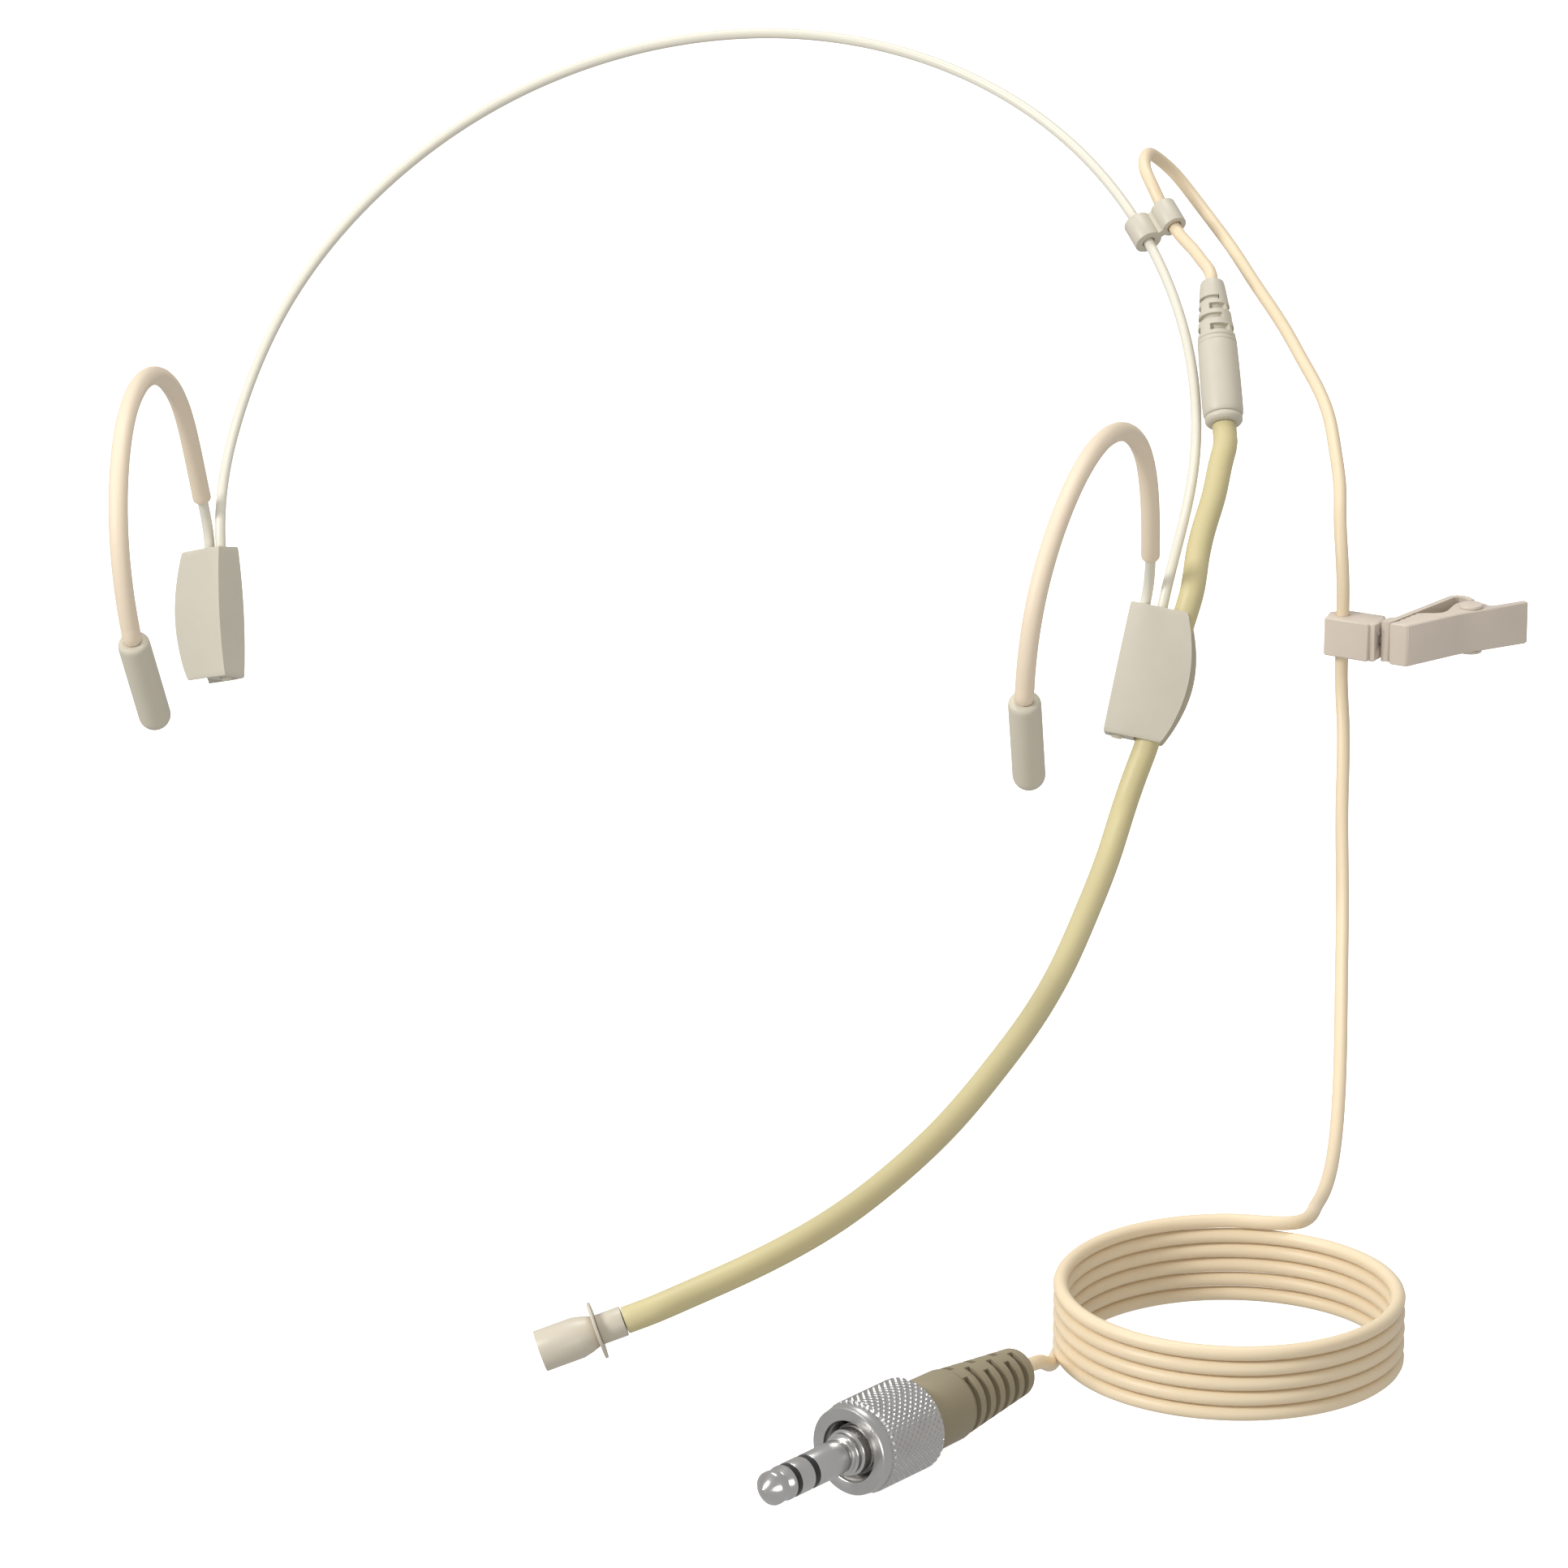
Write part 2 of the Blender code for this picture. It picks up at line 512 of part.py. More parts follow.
    # wire clip: two barrels joined by a web
    here = Vector(CLIP_ON_BAND)
    pts = spline(band_pts, 0.5)
    i = int(np.argmin(np.linalg.norm(pts - np.array(here), axis=1)))
    here = Vector(pts[i])
    along = Vector(pts[i + 1] - pts[i - 1]).normalized()
    across = Vector(CLIP_SIDE)
    across = (across - along * across.dot(along)).normalized()
    at_clip = place(here - along * CLIP_L / 2, along, across)
    ra, rc = CLIP_BAND_D / 2, CLIP_CABLE_D / 2
    web = 0.55
    ang_a, ang_c = math.degrees(math.asin(web / ra)), math.degrees(math.asin(web / rc))
    outline = arc(0, 0, ra, ang_a, 360 - ang_a, 18)
    outline += arc(CLIP_PITCH, 0, rc, 180 + ang_c, 540 - ang_c, 18)
    clip = prism("cable_clip", outline, 0, CLIP_L, beige, at_clip)
    cable_spot = here + across * CLIP_PITCH
    cut(clip, rod("clip_band_cutter", here - along * CLIP_L, here + along * CLIP_L,
                  WIRE_D + 2 * (FIT + 0.06)))
    cut(clip, rod("clip_cable_cutter", cable_spot - along * CLIP_L,
                  cable_spot + along * CLIP_L, CABLE_D + 2 * (FIT + 0.06)))

    # cable: boot to wire clip, loop, garment clip, hank; then hank to plug
    cable = [boot_end + axis * 2 * BUTT, boot_end + axis * 1.2]
    cable += [Vector(p) for p in CABLE_TO_CLIP]
    cable += [cable_spot + along * k for k in (1.9, 0.0, -1.9)]
    cable += [Vector(p) for p in CABLE_DOWN]
    holder = Vector(HOLDER_AT)
    cable += [holder + Vector((0, 0, k)) for k in (3.4, 0.0, -3.4)]
    cable += [Vector(p) for p in CABLE_FLOOR]
    run = [Vector(p) for p in spline(cable, 3.9)]
    run = [cable[0], cable[0] + axis * 0.8, *run[1:]]
    wire("cable_run", run, CABLE_D, cream, resolution=2)
    drop = HANK_TURNS * HANK_PITCH
    height = drop + CABLE_D
    bm = bmesh.new()
    seg, half_w, half_h = 40, CABLE_D / 2, height / 2
    ring = [(half_w, -half_h + half_w), (half_w, half_h - half_w), (half_w * 0.4, half_h),
            (-half_w * 0.4, half_h), (-half_w, half_h - half_w), (-half_w, -half_h + half_w),
            (-half_w * 0.4, -half_h), (half_w * 0.4, -half_h)]
    loops = []
    for k in range(seg):
        a = 2 * math.pi * k / seg
        loops.append([bm.verts.new(((HANK_R + x) * math.cos(a), (HANK_R + x) * math.sin(a),
                                    z - drop / 2)) for x, z in ring])
    for k in range(seg):
        a, b = loops[k], loops[(k + 1) % seg]
        for i in range(8):
            j = (i + 1) % 8
            bm.faces.new((a[i], b[i], b[j], a[j]))
    finish(bm, "cable_hank", cream, turned(HANK_AT, 0))

    # garment clip: holder on the cable, swivelling fixed jaw, sprung lever
    at_holder = turned(HOLDER_AT, HOLDER_TURN_DEG)
    h = HOLDER_H / 2
    x0, x1, y0, y1 = HOLDER_X0, HOLDER_X1, HOLDER_Y0, HOLDER_Y1
    f = x1 + NECK_L
    shape = [(x0, y0 + 0.1), (x0 + 0.2, y0), (x1 - 0.1, y0), (x1, y0 + 0.1), (x1, y0 + 0.4),
             (f, y0 + 0.4), (f, 1.3), (x1 + 0.3, 1.3), (x1 + 0.3, y1), (x1, y1 + 0.2),
             (x0 + 0.8, y1), (x0 - 0.15, y1 - 1.2), (x0 - 0.45, 0.2), (x0 - 0.15, -0.9)]
    body = prism("cable_holder", shape, -h, h, pink, at_holder, bevel=0.15)
    cut(body, rod("holder_cable_cutter", holder - Vector((0, 0, 4)),
                  holder + Vector((0, 0, 4)), CABLE_D + 2 * FIT))
    hx = Vector((math.cos(math.radians(HOLDER_TURN_DEG)),
                 math.sin(math.radians(HOLDER_TURN_DEG)), 0))
    neck_end = holder + hx * f
    cut(body, rod("holder_stud_cutter", neck_end - hx * (STUD_L + 0.2), neck_end + hx,
                  STUD_D + 2 * FIT))
    stud_axis = neck_end

    at_jaw = turned(CLIP_PIVOT, CLIP_TURN_DEG)
    inv = (at_jaw.inverted() @ Matrix.Translation(stud_axis * MM)).translation / MM
    turn = math.radians(HOLDER_TURN_DEG - CLIP_TURN_DEG)
    ux, uy = math.cos(turn), math.sin(turn)
    vx, vy = -uy, ux

    def by_stud(out, aside):
        return (inv.x + out * ux + aside * vx, inv.y + out * uy + aside * vy)

    # both jaws meet at the nose; the fixed one runs back at an angle and curls to the rivet
    n, g, tail, h = -JAW_NOSE, JAW_GAPE, JAW_TAIL, JAW_H / 2
    slope = (g - 0.25 + 0.2) / (JAW_NOSE + 0.9)

    def back_line(x, inside=0.0):
        return -0.2 + slope * (x - n + 1.1) - inside

    hub = HUB_D / 2
    strip = [by_stud(GAP, 1.2), by_stud(GAP, -0.5), by_stud(GAP + 0.45, -0.5),
             (n - 0.7, back_line(n - 0.7, 0.83)), (-0.1, back_line(-0.1, 0.83)),
             (0.5, g - 0.75), (1.0, g - 0.95), (1.3, g - 1.45), (1.3, 2.9), (1.2, 2.3),
             (0.8, 1.6)]
    strip += arc(0, 0, hub, 75, 385, 16)
    strip += [(1.75, 1.2), (1.95, 2.3), (2.1, 2.9), (2.1, g - 1.25), (1.8, g - 0.55),
              (1.2, g - 0.1), (0.5, g), (-0.2, g - 0.25), (n + 0.9, back_line(n + 0.9))]
    jaw = prism("fixed_jaw", strip, -h + 0.1, h - 0.1, pink, at_jaw, smooth=30.0)
    eye = JAW_H / 2 - JAW_PLATE - 0.25
    for name, z0, z1, reach in (("top", eye, h + 1, 2.55), ("bottom", -h - 1, -eye, 2.55),
                                ("spring", 0.15, h + 1, 1.65)):
        cut(jaw, prism("jaw_eye_cutter_" + name, [(-2.6, -2.0), (2.8, -2.0), (2.8, reach),
                                                  (-2.6, reach)], z0, z1, None, at_jaw,
                       smooth=0))
    pivot = Vector(CLIP_PIVOT)
    up = Vector((0, 0, 1))
    cut(jaw, rod("jaw_pin_cutter", pivot - up * 4, pivot + up * 4, RIVET_D + 2 * FIT))
    rod("swivel_stud", stud_axis - hx * STUD_L, stud_axis + hx * (GAP - BUTT), STUD_D,
        steel, 16)

    lever = [(n, -2.9), (n + 0.3, -3.0), (-3.6, -1.85), (-2.6, -1.65), (-1.4, -1.55),
             (0.4, -1.5), (1.3, -1.5), (tail - 0.3, -1.25), (tail, -1.0), (tail, -0.5),
             (tail - 0.3, -0.3), (2.6, -0.45), (2.2, -0.2), (2.25, 0.4), (1.95, 1.1),
             (1.35, 1.75), (0.6, 2.15), (-0.2, 2.25), (-0.9, 2.0), (-1.6, 1.45), (-2.3, 0.8),
             (-3.1, 0.1), (-3.9, -0.25), (-4.8, -0.05), (-5.8, 0.5)]
    for k in range(4):
        x = -6.8 - 0.9 * k
        lever += [(x, back_line(x, 1.12)), (x - 0.12, back_line(x, 1.55))]
    lever += [(n - 0.4, back_line(n - 0.4, 1.12)), (n - 1.1, back_line(n - 1.1, 1.1))]
    arm = prism("lever_jaw", lever, -h, h, pink, at_jaw, bevel=0.14, smooth=30.0)
    deep = h - JAW_PLATE
    pocket = prism("lever_pocket_cutter",
                   [(n + 0.7, -2.05), (-3.4, -0.95), (-2.4, -1.1), (1.5, -1.1), (2.4, -0.35),
                    (3.0, -0.3), (3.0, 3.5), (n + 0.7, 3.5)], -deep, deep, None, at_jaw,
                   smooth=0)
    cut(arm, pocket)
    cut(arm, rod("lever_pin_cutter", pivot - up * 4, pivot + up * 4, RIVET_D + 2 * FIT))
    hr, sr = RIVET_HEAD_D / 2, RIVET_D / 2
    z_head = h + BUTT
    top_z = z_head + RIVET_HEAD_T
    lathe("clip_rivet", [(0, -top_z), (hr - 0.12, -top_z), (hr, -top_z + 0.12), (hr, -z_head),
                         (sr, -z_head), (sr, z_head), (hr, z_head), (hr, top_z - 0.12),
                         (hr - 0.12, top_z), (0, top_z)], pink, turned(CLIP_PIVOT, 0), 20)
    lathe("clip_spring", [(sr + 0.1, 0.32), (sr + 0.42, 0.32), (sr + 0.42, 1.3),
                          (sr + 0.1, 1.3)], steel, turned(CLIP_PIVOT, 0), 16)

    # locking plug, local Z runs forward to the jack's tip, zero at the ring's front face
    a = math.radians(PLUG_TURN_DEG)
    fwd = Vector((-math.sin(a), -math.cos(a), 0))
    at_plug = place(PLUG_AT, fwd)
    rr, rb = RING_D / 2, RING_BORE_D / 2
    lathe("locking_ring", [(rb, 0), (rr - 0.75, 0), (rr - 0.25, -0.5), (rr - 0.2, -1.3),
                           (rr, -1.5), (rr, -RING_L + 0.3), (rr - 0.3, -RING_L),
                           (rb - 0.6, -RING_L), (rb - 0.6, -RING_L + 0.9),
                           (rb, -RING_L + 0.9)], nickel, at_plug, 28)
    rj = JACK_D / 2
    rc = COLLAR_D / 2
    shaft = rb - 0.6 - FIT
    lathe("plug_collar", [(0, -RING_L + 0.3), (shaft - 0.6, -RING_L + 0.3),
                          (shaft - 0.6, -RING_L + 0.95), (rc - 0.2, -RING_L + 0.95),
                          (rc - 0.2, -3.0), (rc, -2.9), (rc, -0.9), (rc - 0.2, -0.8),
                          (rc - 0.2, 0.3), (rc - 0.45, 0.45), (rc - 0.45, 0.95),
                          (rj + 0.05, COLLAR_OUT - 0.1), (rj - 0.1, COLLAR_OUT),
                          (0, COLLAR_OUT)], nickel, at_plug, 24)
    z1 = COLLAR_OUT + BUTT
    z2 = JACK_SLEEVE_END + BUTT
    z3 = z2 + INSULATOR_L + BUTT
    z4 = z3 + JACK_RING_L + BUTT
    tip0 = z4 + INSULATOR_L + BUTT
    marks = {"sleeve": (z1, JACK_SLEEVE_END), "insulator_1": (z2, z2 + INSULATOR_L),
             "ring": (z3, z3 + JACK_RING_L), "insulator_2": (z4, z4 + INSULATOR_L)}
    for key, (za, zb) in marks.items():
        mat = black if "insulator" in key else nickel
        radius = rj - 0.02 if "insulator" in key else rj
        lathe("jack_" + key, [(0, za), (radius, za), (radius, zb), (0, zb)], mat, at_plug, 24)
    lathe("jack_tip", [(0, tip0), (rj, tip0), (rj, tip0 + 0.4), (rj - 0.42, tip0 + 0.9),
                       (rj - 0.3, tip0 + 1.15), (rj - 0.02, tip0 + 1.7), (rj - 0.2, tip0 + 2.05),
                       (0.5, JACK_L - 0.12), (0.32, JACK_L), (0, JACK_L)], nickel, at_plug, 24)
    rp = PLUG_BODY_D / 2
    z0 = -RING_L - GAP
    lathe("plug_body", [(0, -RING_L + 0.25 - BUTT - 0.5), (shaft - 0.7, -RING_L - 0.3),
                        (rp - 0.1, z0), (rp, z0 - 0.1), (rp - 0.1, z0 - PLUG_BODY_L),
                        (0, z0 - PLUG_BODY_L)], olive, at_plug, 28)
    z = z0 - PLUG_BODY_L - BUTT
    end = z - BOOT2_L
    r0, r1 = BOOT2_D0 / 2, BOOT2_D1 / 2
    pitch = BOOT2_L / RIBS
    profile = [(0, z), (r0 - 0.75, z)]
    for k in range(RIBS):
        za = z - pitch * k
        ra = r0 + (r1 - r0) * (k + 0.4) / RIBS
        rn = r0 + (r1 - r0) * (k + 1.0) / RIBS
        core = ra - 0.75
        profile += [(core, za - RIB_GROOVE), (ra, za - RIB_GROOVE - 0.05)]
        if k < RIBS - 1:
            profile += [(rn, za - pitch), (rn - 0.75 + 0.1, za - pitch - 0.02)]
    profile += [(r1, end + 0.35), (r1 - 0.35, end), (0, end)]
    lathe("plug_boot", profile, olive, at_plug, 20)
    tail_start = Vector(PLUG_AT) + fwd * (end - 2 * BUTT)
    tail = [tail_start, tail_start - fwd * 1.5] + [Vector(p) for p in TAIL]
    run = [Vector(p) for p in spline(tail, 1.6)]
    run = [run[0], run[0] - fwd * 0.7, *run[1:]]
    wire("cable_tail", run, CABLE_D, cream, resolution=2)


build()
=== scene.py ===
"""Looks of a head-worn stage microphone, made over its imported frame: neckband wire, two ear
hooks, clamp blocks, bendable boom with a small capsule, connector, cable with its clips,
coil and locking mini-jack plug. Shapes are worked out in millimetres and stored in metres."""
import math

import bmesh
import bpy
import numpy as np
from bpy.props import FloatProperty, FloatVectorProperty, IntProperty, PointerProperty
from mathutils import Matrix, Vector


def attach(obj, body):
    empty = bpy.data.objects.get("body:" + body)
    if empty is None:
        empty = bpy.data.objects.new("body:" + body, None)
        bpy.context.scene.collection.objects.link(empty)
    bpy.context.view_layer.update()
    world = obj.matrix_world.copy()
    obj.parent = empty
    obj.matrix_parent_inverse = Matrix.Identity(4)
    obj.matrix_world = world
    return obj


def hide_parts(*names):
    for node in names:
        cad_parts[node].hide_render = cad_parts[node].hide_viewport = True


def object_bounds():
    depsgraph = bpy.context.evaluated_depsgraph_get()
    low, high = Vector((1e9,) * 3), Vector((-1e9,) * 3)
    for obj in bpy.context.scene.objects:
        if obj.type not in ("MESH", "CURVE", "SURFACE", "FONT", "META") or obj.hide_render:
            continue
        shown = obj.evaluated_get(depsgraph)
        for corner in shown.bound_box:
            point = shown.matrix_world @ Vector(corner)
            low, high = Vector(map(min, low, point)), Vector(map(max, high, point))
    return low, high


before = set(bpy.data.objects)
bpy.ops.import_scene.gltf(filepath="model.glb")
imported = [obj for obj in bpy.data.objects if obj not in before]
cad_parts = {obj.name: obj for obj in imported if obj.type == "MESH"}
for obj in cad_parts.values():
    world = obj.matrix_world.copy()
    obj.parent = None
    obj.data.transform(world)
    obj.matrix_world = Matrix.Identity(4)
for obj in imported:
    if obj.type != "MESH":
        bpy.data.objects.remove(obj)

CAD_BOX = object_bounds()
MM = 0.001
TURN = 2 * math.pi

bl_info = {
    "name": "Headset Microphone",
    "version": (1, 0, 0),
    "blender": (4, 5, 0),
    "location": "View3D > Sidebar > Headset",
    "description": "Builds a head-worn stage microphone piece by piece",
    "category": "Add Mesh",
}

# ---- routes and places, millimetres -------------------------------------------------------
AIR = 0.05                # air where two pieces meet end to end
BAND_HALF = [(55.2, 21.0, -27.5), (56.4, 32.9, -15.3), (53.7, 45.4, -4.3), (46.3, 57.2, 6.3),
             (34.4, 67.5, 15.3), (18.4, 74.4, 21.5), (0.0, 77.0, 23.7)]
HOOK_RIGHT = [(54.2, 18.4, -20.7), (54.7, 10.8, -7.5), (53.7, -3.3, -0.7), (52.0, -18.0, -2.8),
              (49.9, -27.4, -12.7), (48.7, -27.4, -23.9), (48.2, -21.7, -34.2)]
HOOK_LEFT = [(-57.3, 20.9, -21.6), (-57.0, 12.2, -8.0), (-55.8, -2.8, -0.9),
             (-54.0, -18.0, -2.8), (-51.9, -27.4, -12.7), (-50.7, -27.4, -23.9),
             (-50.2, -21.7, -34.2)]
BOOM_UPPER = [(59.35, 36.45, -10.1), (59.6, 33.8, -13.2), (59.3, 30.9, -16.5),
              (58.7, 27.9, -19.7), (58.4, 24.8, -22.9)]
BOOM_LOWER = [(53.9, 14.3, -44.3), (52.9, 12.4, -47.8), (52.3, 7.2, -51.4), (51.9, -4.5, -54.7),
              (51.5, -17.9, -57.1), (50.6, -32.1, -58.7), (49.1, -45.8, -59.8),
              (47.2, -59.0, -60.8), (44.7, -70.8, -61.6), (41.6, -81.2, -62.4),
              (37.9, -90.3, -63.0), (33.4, -96.6, -64.1), (28.5, -101.6, -65.4),
              (23.5, -104.8, -67.0)]
CONNECTOR_TOP = (55.74, 48.08, 3.56)
MIC_DIR = Vector((-0.893, -0.309, -0.326)).normalized()
CLIP_ON_BAND = (46.0, 57.6, 6.7)
CLIP_SIDE = (0.818, 0.266, 0.510)
CLIP_PITCH = 3.45
CABLE_TO_CLIP = [(54.35, 50.65, 5.1), (52.75, 52.95, 6.0)]
CABLE_DOWN = [(46.4, 61.0, 11.4), (45.0, 63.5, 13.2), (44.9, 66.0, 13.9), (45.5, 68.3, 13.1),
              (47.3, 69.5, 11.2), (49.8, 68.2, 8.9), (52.9, 64.5, 6.7), (56.1, 60.3, 4.5),
              (59.1, 55.2, 2.6), (62.1, 49.9, 0.9), (65.1, 44.1, -0.7), (67.9, 38.4, -2.5),
              (70.6, 33.3, -4.5), (72.6, 28.6, -6.6), (74.0, 24.2, -9.2), (75.1, 20.5, -12.0),
              (75.7, 17.2, -14.9), (76.3, 14.9, -18.0), (76.7, 13.7, -21.2)]
HOLDER_AT = Vector((76.8, 13.3, -26.8))
CABLE_FLOOR = [(76.8, 13.3, -31.5), (77.4, 11.4, -36.4), (78.3, 5.9, -43.9),
               (79.9, -3.2, -51.2), (81.4, -12.8, -56.9), (83.4, -26.1, -62.8),
               (84.9, -37.8, -65.6), (85.8, -46.6, -66.3), (86.3, -53.0, -66.1),
               (86.5, -58.5, -65.8), (86.6, -63.8, -65.1), (86.65, -67.6, -64.6),
               (85.75, -70.2, -64.35)]
COIL_AT = (81.7, -88.0, -64.25)
COIL_RADIUS, COIL_DROP = 16.9, 8.37
COIL_START_DEG, COIL_END_DEG = 84.0, 1980.0
TAIL = [(64.8, -91.5, -72.5), (64.85, -94.2, -72.15), (64.9, -96.3, -71.4), (64.9, -100.9, -69.3)]
PLUG_AT = Vector((51.5, -128.9, -68.6))
PLUG_FORWARD = Vector((-math.sin(math.radians(27)), -math.cos(math.radians(27)), 0))
CLIP_PIVOT = (90.4, 18.6, -26.8)

LIP_L, BARREL_L, BOOT_L = 0.9, 10.65, 7.5
BLOCK_L, BLOCK_W, BLOCK_W_END, BLOCK_T, BLOCK_T_END = 15.3, 8.3, 6.6, 4.3, 3.5
WIRE_DEPTH = 4.5
BOOM_U = (5.0, 6.2)       # boom axis from the straight edge, at the block's bottom and top
HALF_SLOT = 1.52
RING_L, PLUG_BODY_L, PLUG_BOOT_L = 9.4, 5.7, 10.9
JACK_R = 1.75
SLEEVE_END = 6.2          # from the ring's front face, as are the next three
CONTACT_RING = (6.95, 8.9)
INSULATORS = ((6.25, 6.9), (8.95, 9.55))
JACK_TIP_START = 9.6


# ---- shader maths -------------------------------------------------------------------------
class Wire:
    """One output socket, so that an expression on it adds its Math nodes."""

    def __init__(self, tree, socket):
        self.tree, self.socket = tree, socket

    def maths(self, operation, a, b=None):
        made = self.tree.nodes.new("ShaderNodeMath")
        made.operation = operation
        for slot, value in zip(made.inputs, (a, b)):
            if isinstance(value, Wire):
                self.tree.links.new(value.socket, slot)
            elif value is not None:
                slot.default_value = value
        return Wire(self.tree, made.outputs[0])

    def __add__(self, other):
        return self.maths("ADD", self, other)

    def __sub__(self, other):
        return self.maths("SUBTRACT", self, other)

    def __rsub__(self, other):
        return self.maths("SUBTRACT", other, self)

    def __mul__(self, other):
        return self.maths("MULTIPLY", self, other)

    def __pow__(self, other):
        return self.maths("POWER", self, other)

    def abs(self):
        return self.maths("ABSOLUTE", self)

    def clip(self):
        return self.maths("MINIMUM", self.maths("MAXIMUM", self, 0.0), 1.0)

    __radd__, __rmul__ = __add__, __mul__


class Finish:
    """A material under construction. Steady values are set on the shader's own sockets."""

    def __init__(self, name, **steady):
        self.material = bpy.data.materials.new(name)
        self.material.use_nodes = True
        self.tree = self.material.node_tree
        self.shader = self.tree.nodes["Principled BSDF"]
        for socket, value in steady.items():
            self.shader.inputs[socket.replace("_", " ")].default_value = value

    def node(self, kind, sockets=None, out=0, **settings):
        made = self.tree.nodes.new("ShaderNode" + kind)
        stops = settings.pop("stops", None)
        for name, value in settings.items():
            setattr(made, name, value)
        if stops:
            ramp = made.color_ramp.elements
            while len(ramp) < len(stops):
                ramp.new(0.5)
            for element, (at, colour) in zip(ramp, stops):
                element.position, element.color = at, colour
        for name, value in (sockets or {}).items():
            if isinstance(value, Wire):
                self.tree.links.new(value.socket, made.inputs[name])
            else:
                made.inputs[name].default_value = value
        return Wire(self.tree, made.outputs[out])

    def place(self, turn=(0, 0, 0), centre=(0, 0, 0)):
        """Object coordinates, centred and turned on the piece."""
        where = self.node("TexCoord", out="Object")
        if turn == (0, 0, 0) and centre == (0, 0, 0):
            return where
        moved = self.node("VectorMath", {0: where, 1: centre}, operation="SUBTRACT")
        return self.node("Mapping", {"Vector": moved, "Rotation": turn})

    def noise(self, where, scale, detail=3.0, rough=0.55):
        return self.node("TexNoise", {"Vector": where, "Scale": scale, "Detail": detail,
                                      "Roughness": rough})

    def blend(self, share, low, high):
        sockets = {0: share, 6: low, 7: high}
        return self.node("Mix", sockets, out=2, data_type="RGBA")

    def feed(self, socket, value):
        self.tree.links.new(value.socket, self.shader.inputs[socket])
        return self

    def relief(self, height, distance, strength=1.0):
        bump = self.node("Bump", {"Height": height, "Distance": distance,
                                  "Strength": strength})
        return self.feed("Normal", bump)


def tint(colour, factor):
    """The colour made lighter or darker, with its opaque fourth value."""
    return tuple(min(1.0, c * factor) for c in colour[:3]) + (1.0,)


def moulded(name, colour, rough, grain=0.35, depth=6e-6, speck=0.05):
    """Satin injection-moulded plastic: slow tone drift, flow haze and fine spark grain."""
    skin = Finish(name, Specular_IOR_Level=0.42)
    where = skin.place()
    drift = skin.noise(where, 140.0, 2.0)
    flow = skin.noise(where, 900.0, 4.0, 0.6)
    grit = skin.noise(where, 5200.0, 2.0, 0.5)
    tone = (drift * 0.75 + flow * 0.25)
    skin.feed("Base Color", skin.blend(tone, tint(colour, 1 - 1.6 * speck),
                                       tint(colour, 1 + speck)))
    skin.feed("Roughness", flow * 0.14 + (rough - 0.07))
    skin.relief(grit * grain + flow * (1 - grain), depth)
    return skin.material


def jacket(name, colour, shade, rough=0.42):
    """Soft extruded sleeve or cable jacket: faint length-wise drift and a matt bloom."""
    skin = Finish(name, Specular_IOR_Level=0.4, Subsurface_Weight=0.06,
                  Subsurface_Radius=(0.0012, 0.0007, 0.0004), Subsurface_Scale=1.0)
    where = skin.place()
    drift = skin.noise(where, 55.0, 2.0)
    bloom = skin.noise(where, 1500.0, 4.0, 0.65)
    skin.feed("Base Color", skin.blend((drift * 0.8 + bloom * 0.2), shade, tint(colour, 1.0)))
    skin.feed("Roughness", bloom * 0.16 + (rough - 0.08))
    skin.relief(bloom, 5e-6)
    return skin.material


def turned_metal(name, colour, rough, centre, axis, marks=14000.0):
    """Plated brass with fine turning marks square to the piece's axis."""
    skin = Finish(name, Metallic=1.0)
    turn = Vector(axis).rotation_difference(Vector((0, 0, 1))).to_euler()
    where = skin.place(tuple(turn), centre)
    along = skin.node("SeparateXYZ", {0: where}, out=2)
    line = skin.node("CombineXYZ", {"Z": along})
    cuts = skin.noise(line, marks, 2.0, 0.6)
    haze = skin.noise(where, 420.0, 3.0)
    skin.feed("Base Color", skin.blend(haze, tint(colour, 0.86), tint(colour, 1.06)))
    skin.feed("Roughness", haze * 0.12 + cuts * 0.08 + (rough - 0.1))
    skin.relief(cuts, 2.2e-6)
    return skin.material


def woven_gauze(name, colour, centre, axis):
    """Fine square-woven wire over the capsule, dark between its wires."""
    skin = Finish(name, Metallic=0.85)
    turn = Vector(axis).rotation_difference(Vector((0, 0, 1))).to_euler()
    where = skin.place(tuple(turn), centre)
    waves = [skin.node("TexWave", {"Vector": where, "Scale": 1500.0, "Distortion": 0.0},
                       out=1, bands_direction=d) for d in ("X", "Y")]
    wires = waves[0].maths("MAXIMUM", waves[0], waves[1])
    skin.feed("Base Color", skin.blend(wires ** 2.0, (0.01, 0.01, 0.01, 1.0),
                                       tint(colour, 1.0)))
    skin.feed("Roughness", 0.62 - wires * 0.3)
    skin.relief(wires, 4e-5)
    return skin.material


